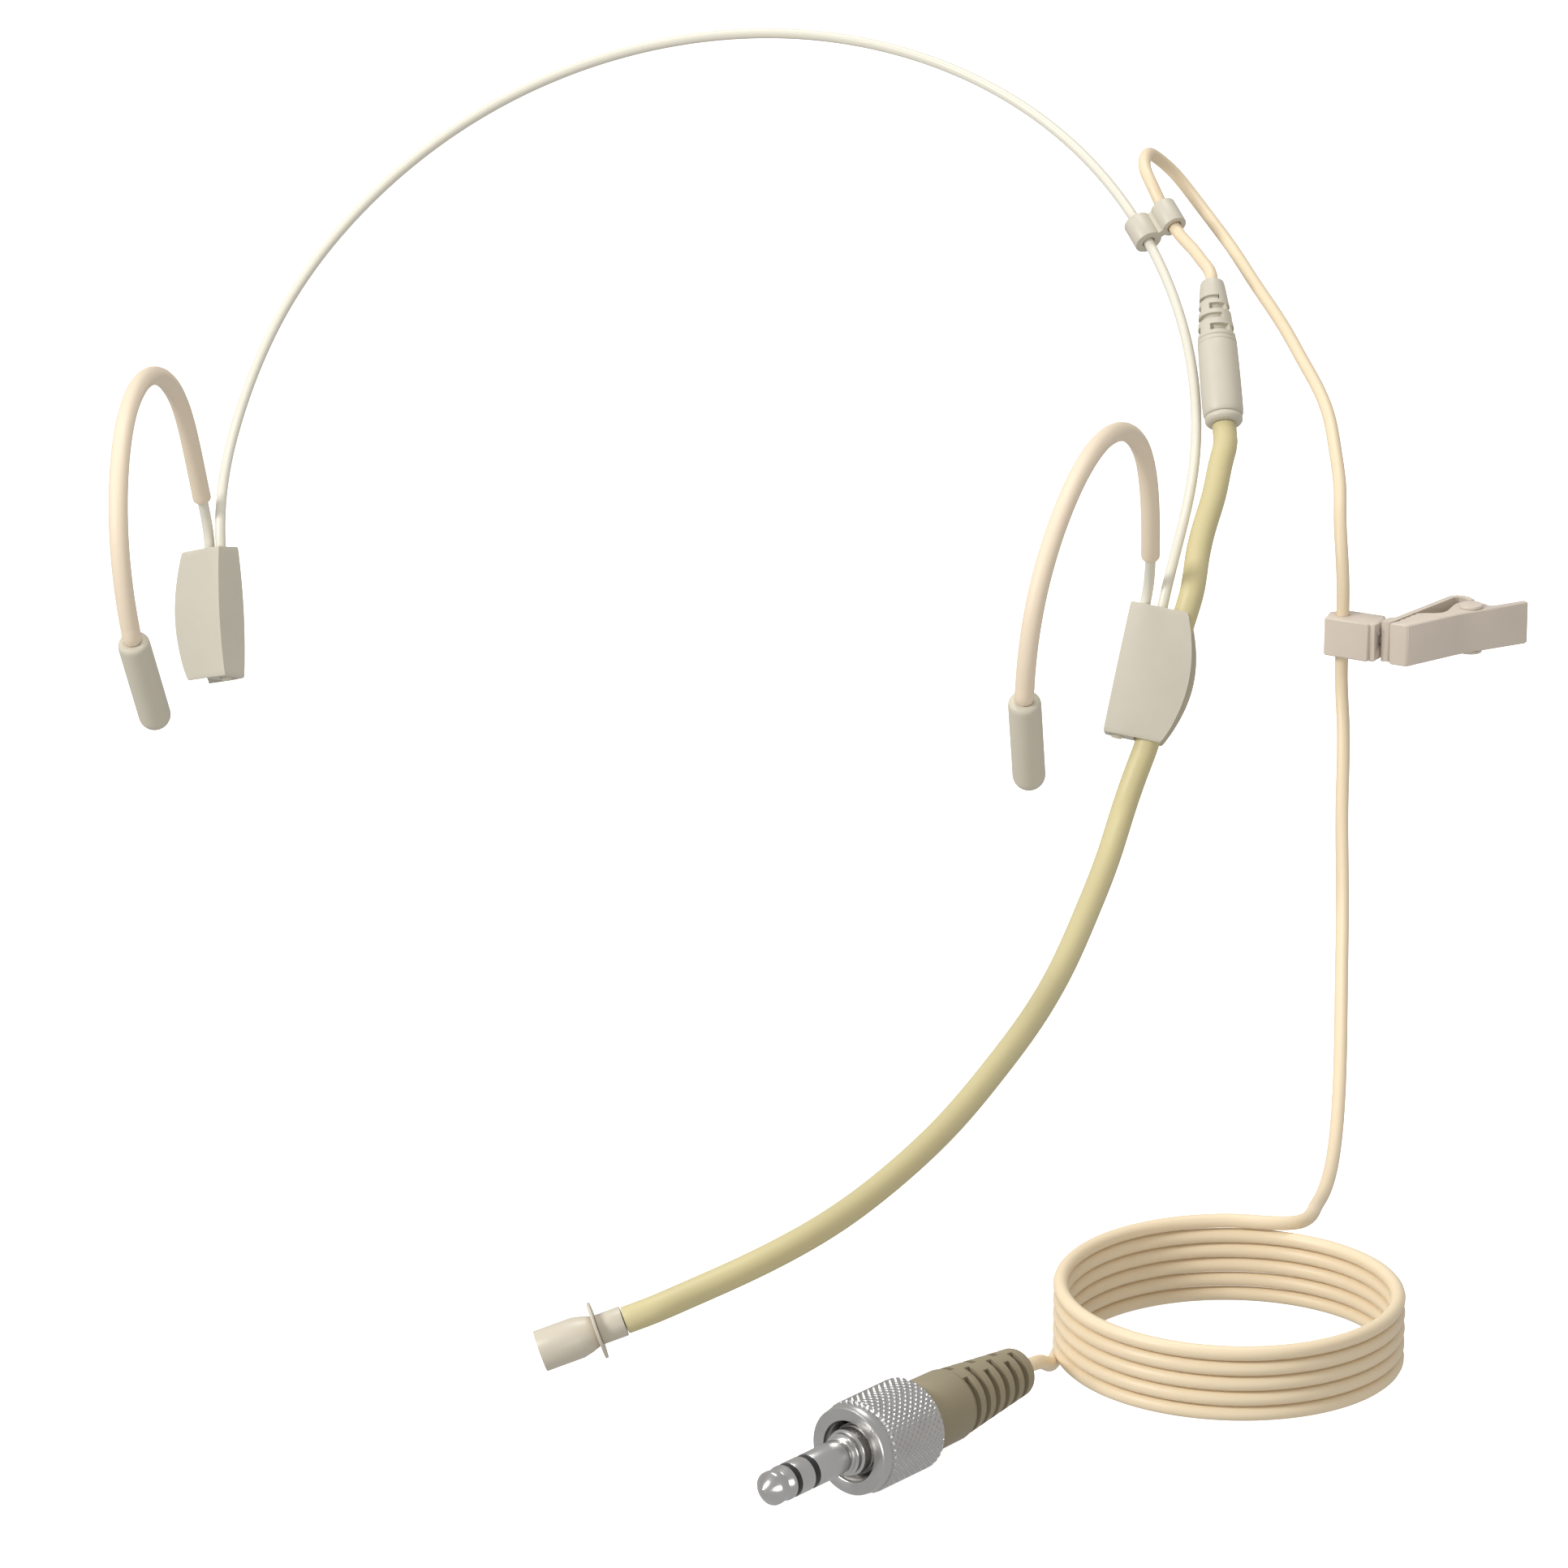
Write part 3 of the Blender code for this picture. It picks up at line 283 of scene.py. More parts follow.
# ---- mesh helpers -------------------------------------------------------------------------
def smooth_route(points, step):
    """Natural cubic through the points, read at an even step of length, as vectors."""
    pts = np.array([tuple(p) for p in points], float)
    d = np.r_[0.0, np.cumsum(np.linalg.norm(np.diff(pts, axis=0), axis=1))]
    n, h = len(d), np.diff(d)
    a, b = np.eye(n), np.zeros((n, 3))
    for i in range(1, n - 1):
        a[i, i - 1], a[i, i], a[i, i + 1] = h[i - 1], 2 * (h[i - 1] + h[i]), h[i]
        b[i] = 6 * ((pts[i + 1] - pts[i]) / h[i] - (pts[i] - pts[i - 1]) / h[i - 1])
    m = np.linalg.solve(a, b)
    t = np.linspace(0.0, d[-1], 12 * n + 600)
    i = np.clip(np.searchsorted(d, t) - 1, 0, n - 2)
    u, v, g = (d[i + 1] - t)[:, None], (t - d[i])[:, None], h[i][:, None]
    fine = ((m[i] * u ** 3 + m[i + 1] * v ** 3) / (6 * g) + (pts[i] / g - m[i] * g / 6) * u
            + (pts[i + 1] / g - m[i + 1] * g / 6) * v)
    run = np.r_[0.0, np.cumsum(np.linalg.norm(np.diff(fine, axis=0), axis=1))]
    want = np.linspace(0.0, run[-1], max(3, int(round(run[-1] / step)) + 1))
    return [Vector([np.interp(s, run, fine[:, k]) for k in range(3)]) for s in want]


def place(at, z_axis, x_hint=(0, 0, 1)):
    """Local millimetres to the frame: origin at `at`, local Z along z_axis."""
    z = Vector(z_axis).normalized()
    x = Vector(x_hint) - z * Vector(x_hint).dot(z)
    x.normalize()
    rot = Matrix((x, z.cross(x), z)).transposed().to_4x4()
    return Matrix.Translation(Vector(at)) @ rot


def show(obj, body, node, material):
    """Give a piece its finish, its body and the frame nodes that it stands for."""
    if material is not None:
        obj.data.materials.append(material)
    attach(obj, body)
    for name in ([node] if isinstance(node, str) else node):
        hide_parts(name)
    return obj


def piece(bm, name, matrix, smooth=38.0):
    """A finished shape in local millimetres as an object at the origin, in metres."""
    bmesh.ops.remove_doubles(bm, verts=bm.verts, dist=1e-4)
    bmesh.ops.recalc_face_normals(bm, faces=bm.faces)
    bmesh.ops.transform(bm, matrix=Matrix.Scale(MM, 4) @ matrix, verts=bm.verts)
    mesh = bpy.data.meshes.new(name)
    bm.to_mesh(mesh)
    bm.free()
    mesh.shade_smooth()
    mesh.set_sharp_from_angle(angle=math.radians(smooth))
    obj = bpy.data.objects.new(name, mesh)
    bpy.context.scene.collection.objects.link(obj)
    return obj


def spun(profile, steps=72, angle=TURN, closed=None):
    """Spin an (r, z) outline about local Z. Ends off the axis join into a closed ring."""
    bm = bmesh.new()
    verts = [bm.verts.new((r, 0, z)) for r, z in profile]
    edges = [bm.edges.new(pair) for pair in zip(verts, verts[1:])]
    if closed or (closed is None and profile[0][0] > 1e-6 and profile[-1][0] > 1e-6):
        edges.append(bm.edges.new((verts[-1], verts[0])))
    bmesh.ops.spin(bm, geom=verts + edges, cent=(0, 0, 0), axis=(0, 0, 1), angle=angle,
                   steps=steps, use_merge=abs(angle - TURN) < 1e-6, use_duplicate=False)
    bmesh.ops.remove_doubles(bm, verts=bm.verts, dist=1e-4)
    return bm


def softened(bm, width, angle=30.0, segments=3, least=0.0):
    """Bevel the sharp edges of a shape, longer than `least`, by a small radius."""
    bmesh.ops.recalc_face_normals(bm, faces=bm.faces)
    sharp = [e for e in bm.edges if len(e.link_faces) == 2
             and e.calc_face_angle(0.0) > math.radians(angle) and e.calc_length() > least]
    bmesh.ops.bevel(bm, geom=sharp, offset=width, segments=segments, profile=0.5,
                    affect="EDGES", material=-1, clamp_overlap=True)
    return bm


def bridged(rings):
    """Bridge a row of closed loops of points into one closed body."""
    bm = bmesh.new()
    before = None
    for ring in rings:
        verts = [bm.verts.new(p) for p in ring]
        edges = [bm.edges.new((verts[i - 1], v)) for i, v in enumerate(verts)]
        if before:
            bmesh.ops.bridge_loops(bm, edges=before + edges)
        else:
            bm.faces.new(verts)
        before = edges
    bm.faces.new(verts)
    bmesh.ops.recalc_face_normals(bm, faces=bm.faces)
    return bm


def carved(bm, cutters):
    """Take the cutters, each a bmesh, out of a shape and return what is left."""
    scene = bpy.context.scene
    objects = []
    for k, shape in enumerate([bm, *cutters]):
        mesh = bpy.data.meshes.new(f"carving_{k}")
        bmesh.ops.recalc_face_normals(shape, faces=shape.faces)
        shape.to_mesh(mesh)
        shape.free()
        objects.append(bpy.data.objects.new(mesh.name, mesh))
        scene.collection.objects.link(objects[-1])
    for cutter in objects[1:]:
        mod = objects[0].modifiers.new(cutter.name, "BOOLEAN")
        mod.operation, mod.solver, mod.object = "DIFFERENCE", "EXACT", cutter
    graph = bpy.context.evaluated_depsgraph_get()
    left = bmesh.new()
    left.from_mesh(objects[0].evaluated_get(graph).to_mesh())
    for obj in objects:
        mesh = obj.data
        bpy.data.objects.remove(obj)
        bpy.data.meshes.remove(mesh)
    bmesh.ops.remove_doubles(left, verts=left.verts, dist=1e-4)
    bmesh.ops.dissolve_degenerate(left, dist=1e-4, edges=left.edges)
    return left


def eased_edges(obj, angle, width):
    """Small bevel, as a modifier, on the edges sharper than an angle in degrees."""
    bevel = obj.modifiers.new("edges", "BEVEL")
    bevel.limit_method, bevel.angle_limit = "ANGLE", math.radians(angle)
    bevel.width, bevel.segments = width * MM, 2


def rod(at, towards, radius, z0, z1, steps=40):
    """A plain cutter rod along an axis, from z0 to z1."""
    bm = spun([(0, z0), (radius, z0), (radius, z1), (0, z1)], steps)
    bmesh.ops.transform(bm, matrix=place(at, towards), verts=bm.verts)
    return bm


def brick(centre, size):
    """A plain brick."""
    bm = bmesh.new()
    bmesh.ops.create_cube(bm, size=1.0)
    bmesh.ops.scale(bm, vec=size, verts=bm.verts)
    bmesh.ops.translate(bm, vec=centre, verts=bm.verts)
    return bm


def arc_cutter(inner, outer, z0, z1, start, end):
    """Cutter for a groove part of the way round, from one angle to another in degrees."""
    bm = spun([(inner, z0), (outer, z0), (outer, z1), (inner, z1)], 30,
              math.radians(end - start), True)
    bmesh.ops.holes_fill(bm, edges=[e for e in bm.edges if e.is_boundary], sides=0)
    bmesh.ops.rotate(bm, matrix=Matrix.Rotation(math.radians(start), 3, "Z"), verts=bm.verts)
    return bm


def joined(*shapes):
    """Several separate shapes as one bmesh."""
    whole = bmesh.new()
    for shape in shapes:
        mesh = bpy.data.meshes.new("part_of")
        shape.to_mesh(mesh)
        shape.free()
        whole.from_mesh(mesh)
        bpy.data.meshes.remove(mesh)
    return whole


def cord(name, points, diameter, rims=0.0, resolution=6):
    """A round wire, sleeve or cable as a curve of one open spline, its end rims eased."""
    curve = bpy.data.curves.new(name, "CURVE")
    curve.dimensions = "3D"
    curve.bevel_depth = diameter / 2 * MM
    curve.bevel_resolution = resolution
    curve.use_fill_caps = True
    line = curve.splines.new("POLY")
    line.points.add(len(points) - 1)
    for slot, p in zip(line.points, points):
        slot.co = (*(Vector(p) * MM), 1.0)
    line.use_smooth = True
    if rims:
        line.points[0].radius = line.points[-1].radius = 1 - rims
    obj = bpy.data.objects.new(name, curve)
    bpy.context.scene.collection.objects.link(obj)
    return obj


def eased_ends(points, length=0.12):
    """The route with one more point close to each end, for the eased rims."""
    a = points[0] + (points[1] - points[0]).normalized() * length
    b = points[-1] + (points[-2] - points[-1]).normalized() * length
    return [points[0], a, *points[1:-1], b, points[-1]]


# ---- the clamp blocks' own frames ---------------------------------------------------------
def block_frame(side, across, band_top, band_u):
    """Corner and unit vectors of a block: across, along its wires, backwards."""
    u = Vector(across).normalized()
    v = Vector((0.136 * side, 0.357, 0.924))
    v = (v - u * v.dot(u)).normalized()
    t = v.cross(u) * side
    return Vector(band_top) - band_u * u - BLOCK_L * v - BLOCK_T / 2 * t, u, v, t


RIGHT = block_frame(1, (0.988, 0.021, -0.153), BAND_HALF[0], 3.5)
LEFT = block_frame(-1, (-0.817, 0.488, -0.308), (-BAND_HALF[0][0], *BAND_HALF[0][1:]), 1.4)


def in_block(block, u, v, t=BLOCK_T / 2):
    return block[0] + u * block[1] + v * block[2] + t * block[3]


def wire_end(block, u, out):
    """Straight end of a wire, from the bottom of its bore to just above the block."""
    return [in_block(block, u, BLOCK_L - WIRE_DEPTH + (WIRE_DEPTH + out) * k / 3)
            for k in range(4)]


def band_route(step):
    left_half = [(-x, y, z) for x, y, z in BAND_HALF[1:]]
    return smooth_route(wire_end(LEFT, 1.4, 0.8) + left_half + BAND_HALF[::-1][1:-1]
                        + wire_end(RIGHT, 3.5, 0.8)[::-1], step)


def boom_in_block(v):
    return in_block(RIGHT, BOOM_U[0] + (BOOM_U[1] - BOOM_U[0]) * v / BLOCK_L, v)


def connector_axis():
    return (Vector(CONNECTOR_TOP) - Vector(BOOM_UPPER[0])).normalized()


def clip_place():
    """Middle of the wire clip on the neckband, its axis and the way to its other barrel."""
    route = band_route(0.5)
    i = min(range(1, len(route) - 1), key=lambda k: (route[k] - Vector(CLIP_ON_BAND)).length)
    along = (route[i + 1] - route[i - 1]).normalized()
    side = Vector(CLIP_SIDE)
    return route[i], along, (side - along * side.dot(along)).normalized()


# ---- what a user may change ---------------------------------------------------------------
def length(name, text, millimetres):
    return FloatProperty(name=name, description=text, default=millimetres * MM, min=1e-5,
                         unit="LENGTH", precision=5)


def colour(name, text, value):
    return FloatVectorProperty(name=name, description=text, default=value, subtype="COLOR",
                               size=3, min=0.0, max=1.0)


class HeadsetSizes(bpy.types.PropertyGroup):
    band_wire: length("Band wire", "Diameter of the coated spring wire", 1.24)
    hook_sleeve: length("Hook sleeve", "Diameter of the soft sleeve on the ear hook", 2.15)
    hook_bead: length("Hook bead", "Diameter of the bead that ends the ear hook", 3.6)
    boom: length("Boom", "Diameter of the bendable boom", 2.8)
    cable: length("Cable", "Diameter of the thin cable", 1.48)
    knurl_depth: length("Knurl depth", "Height of the diamonds on the locking ring", 0.25)
    knurl_count: IntProperty(name="Knurl count", default=38, min=12, max=80,
                             description="Diamonds round the locking ring")
    boot_ribs: IntProperty(name="Boot ribs", default=6, min=3, max=10,
                           description="Ribs of the plug's strain relief")


class HeadsetColours(bpy.types.PropertyGroup):
    block: colour("Blocks", "Clamp blocks, connector and wire clip", (0.61, 0.565, 0.46))
    wire: colour("Band wire", "Nylon coat of the neckband and hook wires", (0.80, 0.765, 0.65))
    sleeve: colour("Hook sleeves", "Soft sleeves of the ear hooks", (0.88, 0.74, 0.56))
    bead: colour("Hook beads", "Beads at the ends of the ear hooks", (0.65, 0.60, 0.48))
    boom: colour("Boom", "Sleeve of the boom", (0.67, 0.585, 0.315))
    cable: colour("Cable", "Jacket of the thin cable", (0.85, 0.70, 0.48))
    capsule: colour("Capsule", "Satin paint of the capsule housing", (0.62, 0.56, 0.45))
    garment: colour("Garment clip", "Moulding of the garment clip", (0.69, 0.60, 0.50))
    plug: colour("Plug moulding", "Soft moulding of the plug", (0.31, 0.26, 0.165))
    plating: colour("Plating", "Nickel plating of the plug", (0.66, 0.65, 0.63))


# ---- operators ----------------------------------------------------------------------------
class Maker:
    """What every operator here shares."""

    bl_options = {"REGISTER", "UNDO"}

    def execute(self, context):
        self.make(context.scene.headset_sizes, context.scene.headset_colours)
        return {"FINISHED"}


class HEADSET_OT_stage(Maker, bpy.types.Operator):
    """Camera, pale floor and soft studio light"""

    bl_idname = "headset.stage"
    bl_label = "Stage"

    def make(self, sizes, colours):
        scene = bpy.context.scene
        lens = bpy.data.cameras.new("camera")
        lens.lens, lens.sensor_width = 175.16, 36.0
        lens.clip_start, lens.clip_end = 0.02, 20.0
        camera = bpy.data.objects.new("camera", lens)
        camera.location = (0.1939, -0.7915, 0.2191)
        camera.rotation_euler = (math.radians(72), 0, math.radians(12.65))
        scene.collection.objects.link(camera)
        scene.camera = camera

        bm = bmesh.new()
        bmesh.ops.create_grid(bm, x_segments=2, y_segments=2, size=3000.0)
        floor = piece(bm, "floor", Matrix.Translation((0, 0, CAD_BOX[0].z / MM - 0.05)))
        paper = Finish("pale_paper", Roughness=0.9, Specular_IOR_Level=0.1,
                       Emission_Strength=0.85)
        fibre = paper.noise(paper.place(), 900.0, 3.0)
        shade = paper.blend(fibre, (0.90, 0.90, 0.90, 1), (0.94, 0.94, 0.94, 1))
        paper.feed("Base Color", shade).feed("Emission Color", shade)
        floor.data.materials.append(paper.material)
        floor.visible_diffuse = floor.visible_glossy = False

        world = bpy.data.worlds.new("studio")
        world.use_nodes = True
        sky = world.node_tree.nodes["Background"]
        sky.inputs["Color"].default_value = (1.0, 1.0, 1.0, 1.0)
        sky.inputs["Strength"].default_value = 0.5
        scene.world = world
        scene.view_settings.view_transform = "Standard"
        aim = Vector((0.02, -0.02, -0.03))
        for name, spot, size, power in (("key", (-0.85, -0.85, 0.75), 0.45, 12.0),
                                        ("top", (-0.1, 0.25, 1.2), 0.6, 6.0),
                                        ("fill", (0.5, -1.1, 0.1), 0.5, 2.2)):
            lamp = bpy.data.lights.new(name, "AREA")
            lamp.shape, lamp.size, lamp.energy = "DISK", size, power
            obj = bpy.data.objects.new(name, lamp)
            obj.location = spot
            obj.rotation_euler = (aim - Vector(spot)).to_track_quat("-Z", "Y").to_euler()
            scene.collection.objects.link(obj)


class HEADSET_OT_neckband(Maker, bpy.types.Operator):
    """One coated spring wire round the back of the head"""

    bl_idname = "headset.neckband"
    bl_label = "Neckband"

    def make(self, sizes, colours):
        coat = jacket("nylon_coat", colours.wire, tint(colours.wire, 0.93), 0.36)
        wire = cord("neckband", eased_ends(band_route(1.0)), sizes.band_wire / MM, 0.1)
        show(wire, "headband", "neckband_wire", coat)


class HEADSET_OT_blocks(Maker, bpy.types.Operator):
    """The two clamp blocks with their boom slots, wire bores and end recesses"""

    bl_idname = "headset.blocks"
    bl_label = "Clamp blocks"

    @staticmethod
    def section(share, proud):
        """Outline of the block's C-section at a share of its length, rear leaf proud."""
        swell = math.sin(math.pi * (0.08 + 0.84 * share)) ** 0.9
        low = math.sin(math.pi * 0.08) ** 0.9
        swell = max(0.0, (swell - low) / (1 - low))
        wide = BLOCK_W_END + (BLOCK_W - BLOCK_W_END) * swell
        thick = BLOCK_T_END + (BLOCK_T - BLOCK_T_END) * swell
        mid, leaf = BLOCK_T / 2, thick / 2 - HALF_SLOT
        floor = BOOM_U[0] + (BOOM_U[1] - BOOM_U[0]) * share - HALF_SLOT
        front = []
        for k in range(11):
            s = k / 10
            crown = 0.3 * (1 - s / 0.45) ** 2 if s < 0.45 else leaf * 0.72 * ((s - 0.45) / 0.55) ** 2
            front.append((wide * s, thick / 2 - crown))
        lip = [(wide + 0.01, HALF_SLOT + 0.06), (wide - 0.06, HALF_SLOT)]
        half = front + lip + [(floor, HALF_SLOT)]
        low_side = [(u, mid - t) for u, t in half]
        return low_side + [(u + proud * swell * min(1.0, u / wide) ** 3, mid + t)
                           for u, t in half[::-1]]

    def make(self, sizes, colours):
        plastic = moulded("block_plastic", colours.block, 0.42, 0.3, 5e-6)
        pin_skin = moulded("pin_plastic", colours.bead, 0.45)
        for side, block, body, wires, proud in (
                ("right", RIGHT, "headband", (1.5, 3.5), 0.34),
                ("left", LEFT, "left_block_group", (1.4, 3.4), 0.1)):
            stations = [0.0, 0.012, 0.03] + [k / 22 for k in range(1, 22)] + [0.97, 0.988, 1.0]
            rings = []
            for share in sorted(stations):
                tuck = 0.16 * max(0.0, 1 - min(share, 1 - share) / 0.03) ** 2
                slant = 0.4 * max(0.0, 1 - share / 0.12)
                middle = (BLOCK_W_END / 2, BLOCK_T / 2)
                ring = []
                for u, t in self.section(share, proud):
                    u += (middle[0] - u) * tuck * 0.12
                    t += (middle[1] - t) * tuck * 0.25
                    ring.append((u, BLOCK_L * share + slant * (1 - t / BLOCK_T), t))
                rings.append(ring)
            shape = bridged(rings)
            cutters = [rod((u, 0, BLOCK_T / 2), (0, 1, 0), 0.68, BLOCK_L - 4.6, BLOCK_L + 1, 32)
                       for u in wires]
            cutters.append(rod((1.5, 0, BLOCK_T / 2), (0, 1, 0), 0.8, -1.0, 5.0, 32))
            for u, wide, deep in ((5.0, 1.5, 0.36), (1.5, 1.0, 0.26)):
                scoop = bmesh.new()
                bmesh.ops.create_uvsphere(scoop, u_segments=32, v_segments=16, radius=1.0)
                bmesh.ops.scale(scoop, vec=(wide, deep, 1.05), verts=scoop.verts)
                bmesh.ops.translate(scoop, vec=(u, 0.12, BLOCK_T / 2 + 0.2), verts=scoop.verts)
                cutters.append(scoop)
            shape = carved(shape, cutters)
            u, v, t = block[1:]
            matrix = Matrix.Translation(block[0]) @ Matrix((u, v, t)).transposed().to_4x4()
            obj = piece(shape, f"{side}_clamp_block", matrix, 34.0)
            eased_edges(obj, 34, 0.07)
            show(obj, body, f"{side}_block", plastic)
            pin = softened(spun([(0, -0.16), (0.5, -0.16), (0.72, 0.02), (0.75, 4.7), (0, 4.7)],
                                32), 0.06, segments=2)
            bmesh.ops.scale(pin, vec=(1.0, 0.8, 1.0), verts=pin.verts)
            at = in_block(block, 1.5, 0.0)
            show(piece(pin, f"{side}_pin", place(at, v, u)), body, f"{side}_stop_pin",
                 pin_skin)


class HEADSET_OT_ear_hooks(Maker, bpy.types.Operator):
    """Ear hooks: bare wire, soft sleeve and rounded bead"""

    bl_idname = "headset.ear_hooks"
    bl_label = "Ear hooks"

    def make(self, sizes, colours):
        coat = jacket("hook_wire_coat", colours.wire, tint(colours.wire, 0.93), 0.36)
        skin = jacket("hook_sleeve_skin", colours.sleeve, tint(colours.sleeve, 0.9), 0.5)
        soft = jacket("hook_bead_skin", colours.bead, tint(colours.bead, 0.92), 0.52)
        for side, block, u, route in (("right", RIGHT, 1.5, HOOK_RIGHT),
                                      ("left", LEFT, 3.4, HOOK_LEFT)):
            whole = smooth_route(wire_end(block, u, 0.6) + route, 0.65)
            near = lambda p: min(range(len(whole)), key=lambda k: (whole[k] - Vector(p)).length)
            start, joint = near(route[0]), near(route[5])
            tip = Vector(route[6])
            aim = (tip - whole[joint]).normalized()
            body = side + "_hook"
            show(cord(side + "_hook_stem", whole[:start + 1], sizes.band_wire / MM),
                 body, side + "_hook_wire", coat)
            sleeve = whole[start:joint - 1] + [whole[joint] - aim * 0.7, whole[joint]]
            sleeve[0] = sleeve[0] + (sleeve[1] - sleeve[0]) * 0.15
            show(cord(side + "_hook_soft_sleeve", eased_ends(sleeve), sizes.hook_sleeve / MM,
                      0.05), body, side + "_hook_sleeve", skin)
            r = sizes.hook_bead / MM / 2
            at = whole[joint] + aim * 2 * AIR
            run = (tip - at).length
            profile = [(0, 0), (r * 0.6, 0), (r * 0.8, 0.05), (r * 0.92, 0.2), (r * 0.98, 0.45),
                       (r, 0.8), (r, run * 0.5), (r, run)]
            profile += [(r * math.cos(a), run + r * math.sin(a))
                        for a in [math.pi / 2 * k / 14 for k in range(1, 14)]] + [(0, run + r)]
            show(piece(spun(profile, 56), side + "_hook_bead", place(at, aim), 60),
                 body, side + "_hook_tip", soft)


class HEADSET_OT_boom(Maker, bpy.types.Operator):
    """Bendable boom from the connector, through the block, to the mouth"""

    bl_idname = "headset.boom"
    bl_label = "Boom"

    def make(self, sizes, colours):
        axis, top, mouth = connector_axis(), Vector(BOOM_UPPER[0]), Vector(BOOM_LOWER[-1])
        route = ([top, top - axis, top - axis * 2] + [Vector(p) for p in BOOM_UPPER[1:]]
                 + [boom_in_block(v) for v in (17.8, 14.0, 10.0, 6.0, 2.0, -0.5)]
                 + [Vector(p) for p in BOOM_LOWER[:-1]]
                 + [mouth - MIC_DIR * k for k in (2.0, 1.0, 0.0)])
        skin = jacket("boom_sleeve", colours.boom, tint(colours.boom, 0.88), 0.46)
        tube = cord("boom_sleeve", eased_ends(smooth_route(route, 1.0)), sizes.boom / MM, 0.03,
                    8)
        show(tube, "boom", "boom_tube", skin)


class HEADSET_OT_capsule(Maker, bpy.types.Operator):
    """Capsule housing with its collar, guard disc and gauze"""

    bl_idname = "headset.capsule"
    bl_label = "Capsule"

    def make(self, sizes, colours):
        paint = moulded("capsule_paint", colours.capsule, 0.34, 0.6, 4e-6, 0.04)
        at = Vector(BOOM_LOWER[-1]) + MIC_DIR * 2 * AIR
        local = place(at, MIC_DIR)
        metal = turned_metal("capsule_metal", (0.6, 0.58, 0.55), 0.3, at * MM, MIC_DIR)
        gauze = woven_gauze("capsule_gauze", (0.42, 0.40, 0.36), at * MM, MIC_DIR)
        collar = softened(spun([(0, 0), (1.55, 0), (1.55, 2.6), (0, 2.6)], 64), 0.05, 40, 2)
        show(piece(collar, "capsule_collar", local), "boom", "mic_collar", paint)
        disc = softened(spun([(0, 2.65), (2.95, 2.65), (2.95, 2.95), (0, 2.95)], 80), 0.09, 40, 3)
        show(piece(disc, "guard_disc", local), "boom", "mic_guard_disc", paint)
        s, front, inner = 3.0, 8.9, 1.825
        shell = spun([(0, s), (1.575, s), (1.62, s + 0.1), (1.9, s + 0.9), (2.125, s + 1.9),
                      (2.125, front), (inner, front), (inner, front - 2.6), (0, front - 2.6)], 80)
        shell = softened(shell, 0.05, 40, 2)
        show(piece(shell, "capsule_housing", local, 24), "boom", "mic_housing", paint)
        can = softened(spun([(0, front - 2.55), (1.765, front - 2.55), (1.765, front - 0.75),
                             (0, front - 0.75)], 64), 0.08, 40, 2)
        show(piece(can, "capsule_can", local), "boom", "mic_capsule", metal)
        dome = spun([(0, front - 0.7), (1.765, front - 0.7), (1.765, front - 0.4),
                     (1.6, front - 0.3), (1.1, front - 0.18), (0.55, front - 0.13),
                     (0, front - 0.12)], 64)
        show(piece(dome, "capsule_front", local), "boom", "mic_front_gauze", gauze)


class HEADSET_OT_connector(Maker, bpy.types.Operator):
    """Connector barrel with its lip ring and slotted strain relief"""

    bl_idname = "headset.connector"
    bl_label = "Connector"

    def make(self, sizes, colours):
        plastic = moulded("connector_plastic", colours.block, 0.42, 0.3, 5e-6)
        axis = connector_axis()
        local = place(Vector(BOOM_UPPER[0]) + axis * 2 * AIR, axis, (-0.4, -0.9, 0.1))
        lip = softened(spun([(0, 0), (1.6, 0), (1.95, 0.12), (2.17, 0.4), (2.17, LIP_L),
                             (0, LIP_L)], 72), 0.06, 25, 2)
        show(piece(lip, "connector_ring", local), "boom", "connector_lip", plastic)
        s = LIP_L + AIR
        top = s + BARREL_L - LIP_L - AIR
        body = spun([(0, s), (2.02, s), (2.2, s + 0.1), (2.3, s + 0.35), (2.34, s + 0.8),
                     (2.35, s + 1.4), (2.35, s + 3.6), (2.33, s + 5.6), (2.3, s + 7.6),
                     (2.275, top - 0.75), (2.22, top - 0.7), (2.22, top - 0.6),
                     (2.27, top - 0.55), (2.26, top - 0.3), (2.2, top - 0.25),
                     (2.2, top - 0.15), (2.24, top - 0.1), (2.22, top), (0, top)], 80)
        show(piece(softened(body, 0.03, 35, 2), "connector_barrel", local, 30), "boom",
             "connector_body", plastic)
        s, wide, slim = top + AIR, 2.19, 1.375
        outer = [(wide + (slim - wide) * (k / 10) ** 1.12, s + BOOT_L * k / 10)
                 for k in range(10)]
        boot = spun([(0, s)] + outer + [(slim + 0.01, s + BOOT_L - 0.3),
                                        (slim - 0.08, s + BOOT_L - 0.08),
                                        (slim - 0.25, s + BOOT_L), (0, s + BOOT_L)], 72)
        cutters = []
        for low, high, depth, spans in (
                (0.5, 1.3, 0.62, ((20, 84), (96, 160))), (2.05, 2.7, 0.5, ((-66, 66),)),
                (3.3, 4.05, 0.55, ((20, 84), (96, 160))), (4.65, 5.1, 0.42, ((-60, 60),))):
            r = wide + (slim - wide) * low / BOOT_L
            for a0, a1 in spans:
                for half in (0, 180):
                    cutters.append(arc_cutter(r - depth, r + 1, s + low, s + high,
                                              a0 + half, a1 + half))
        boot = carved(boot, [joined(*cutters)])
        obj = piece(boot, "connector_strain_relief", local, 30)
        eased_edges(obj, 40, 0.06)
        show(obj, "boom", "connector_boot", plastic)


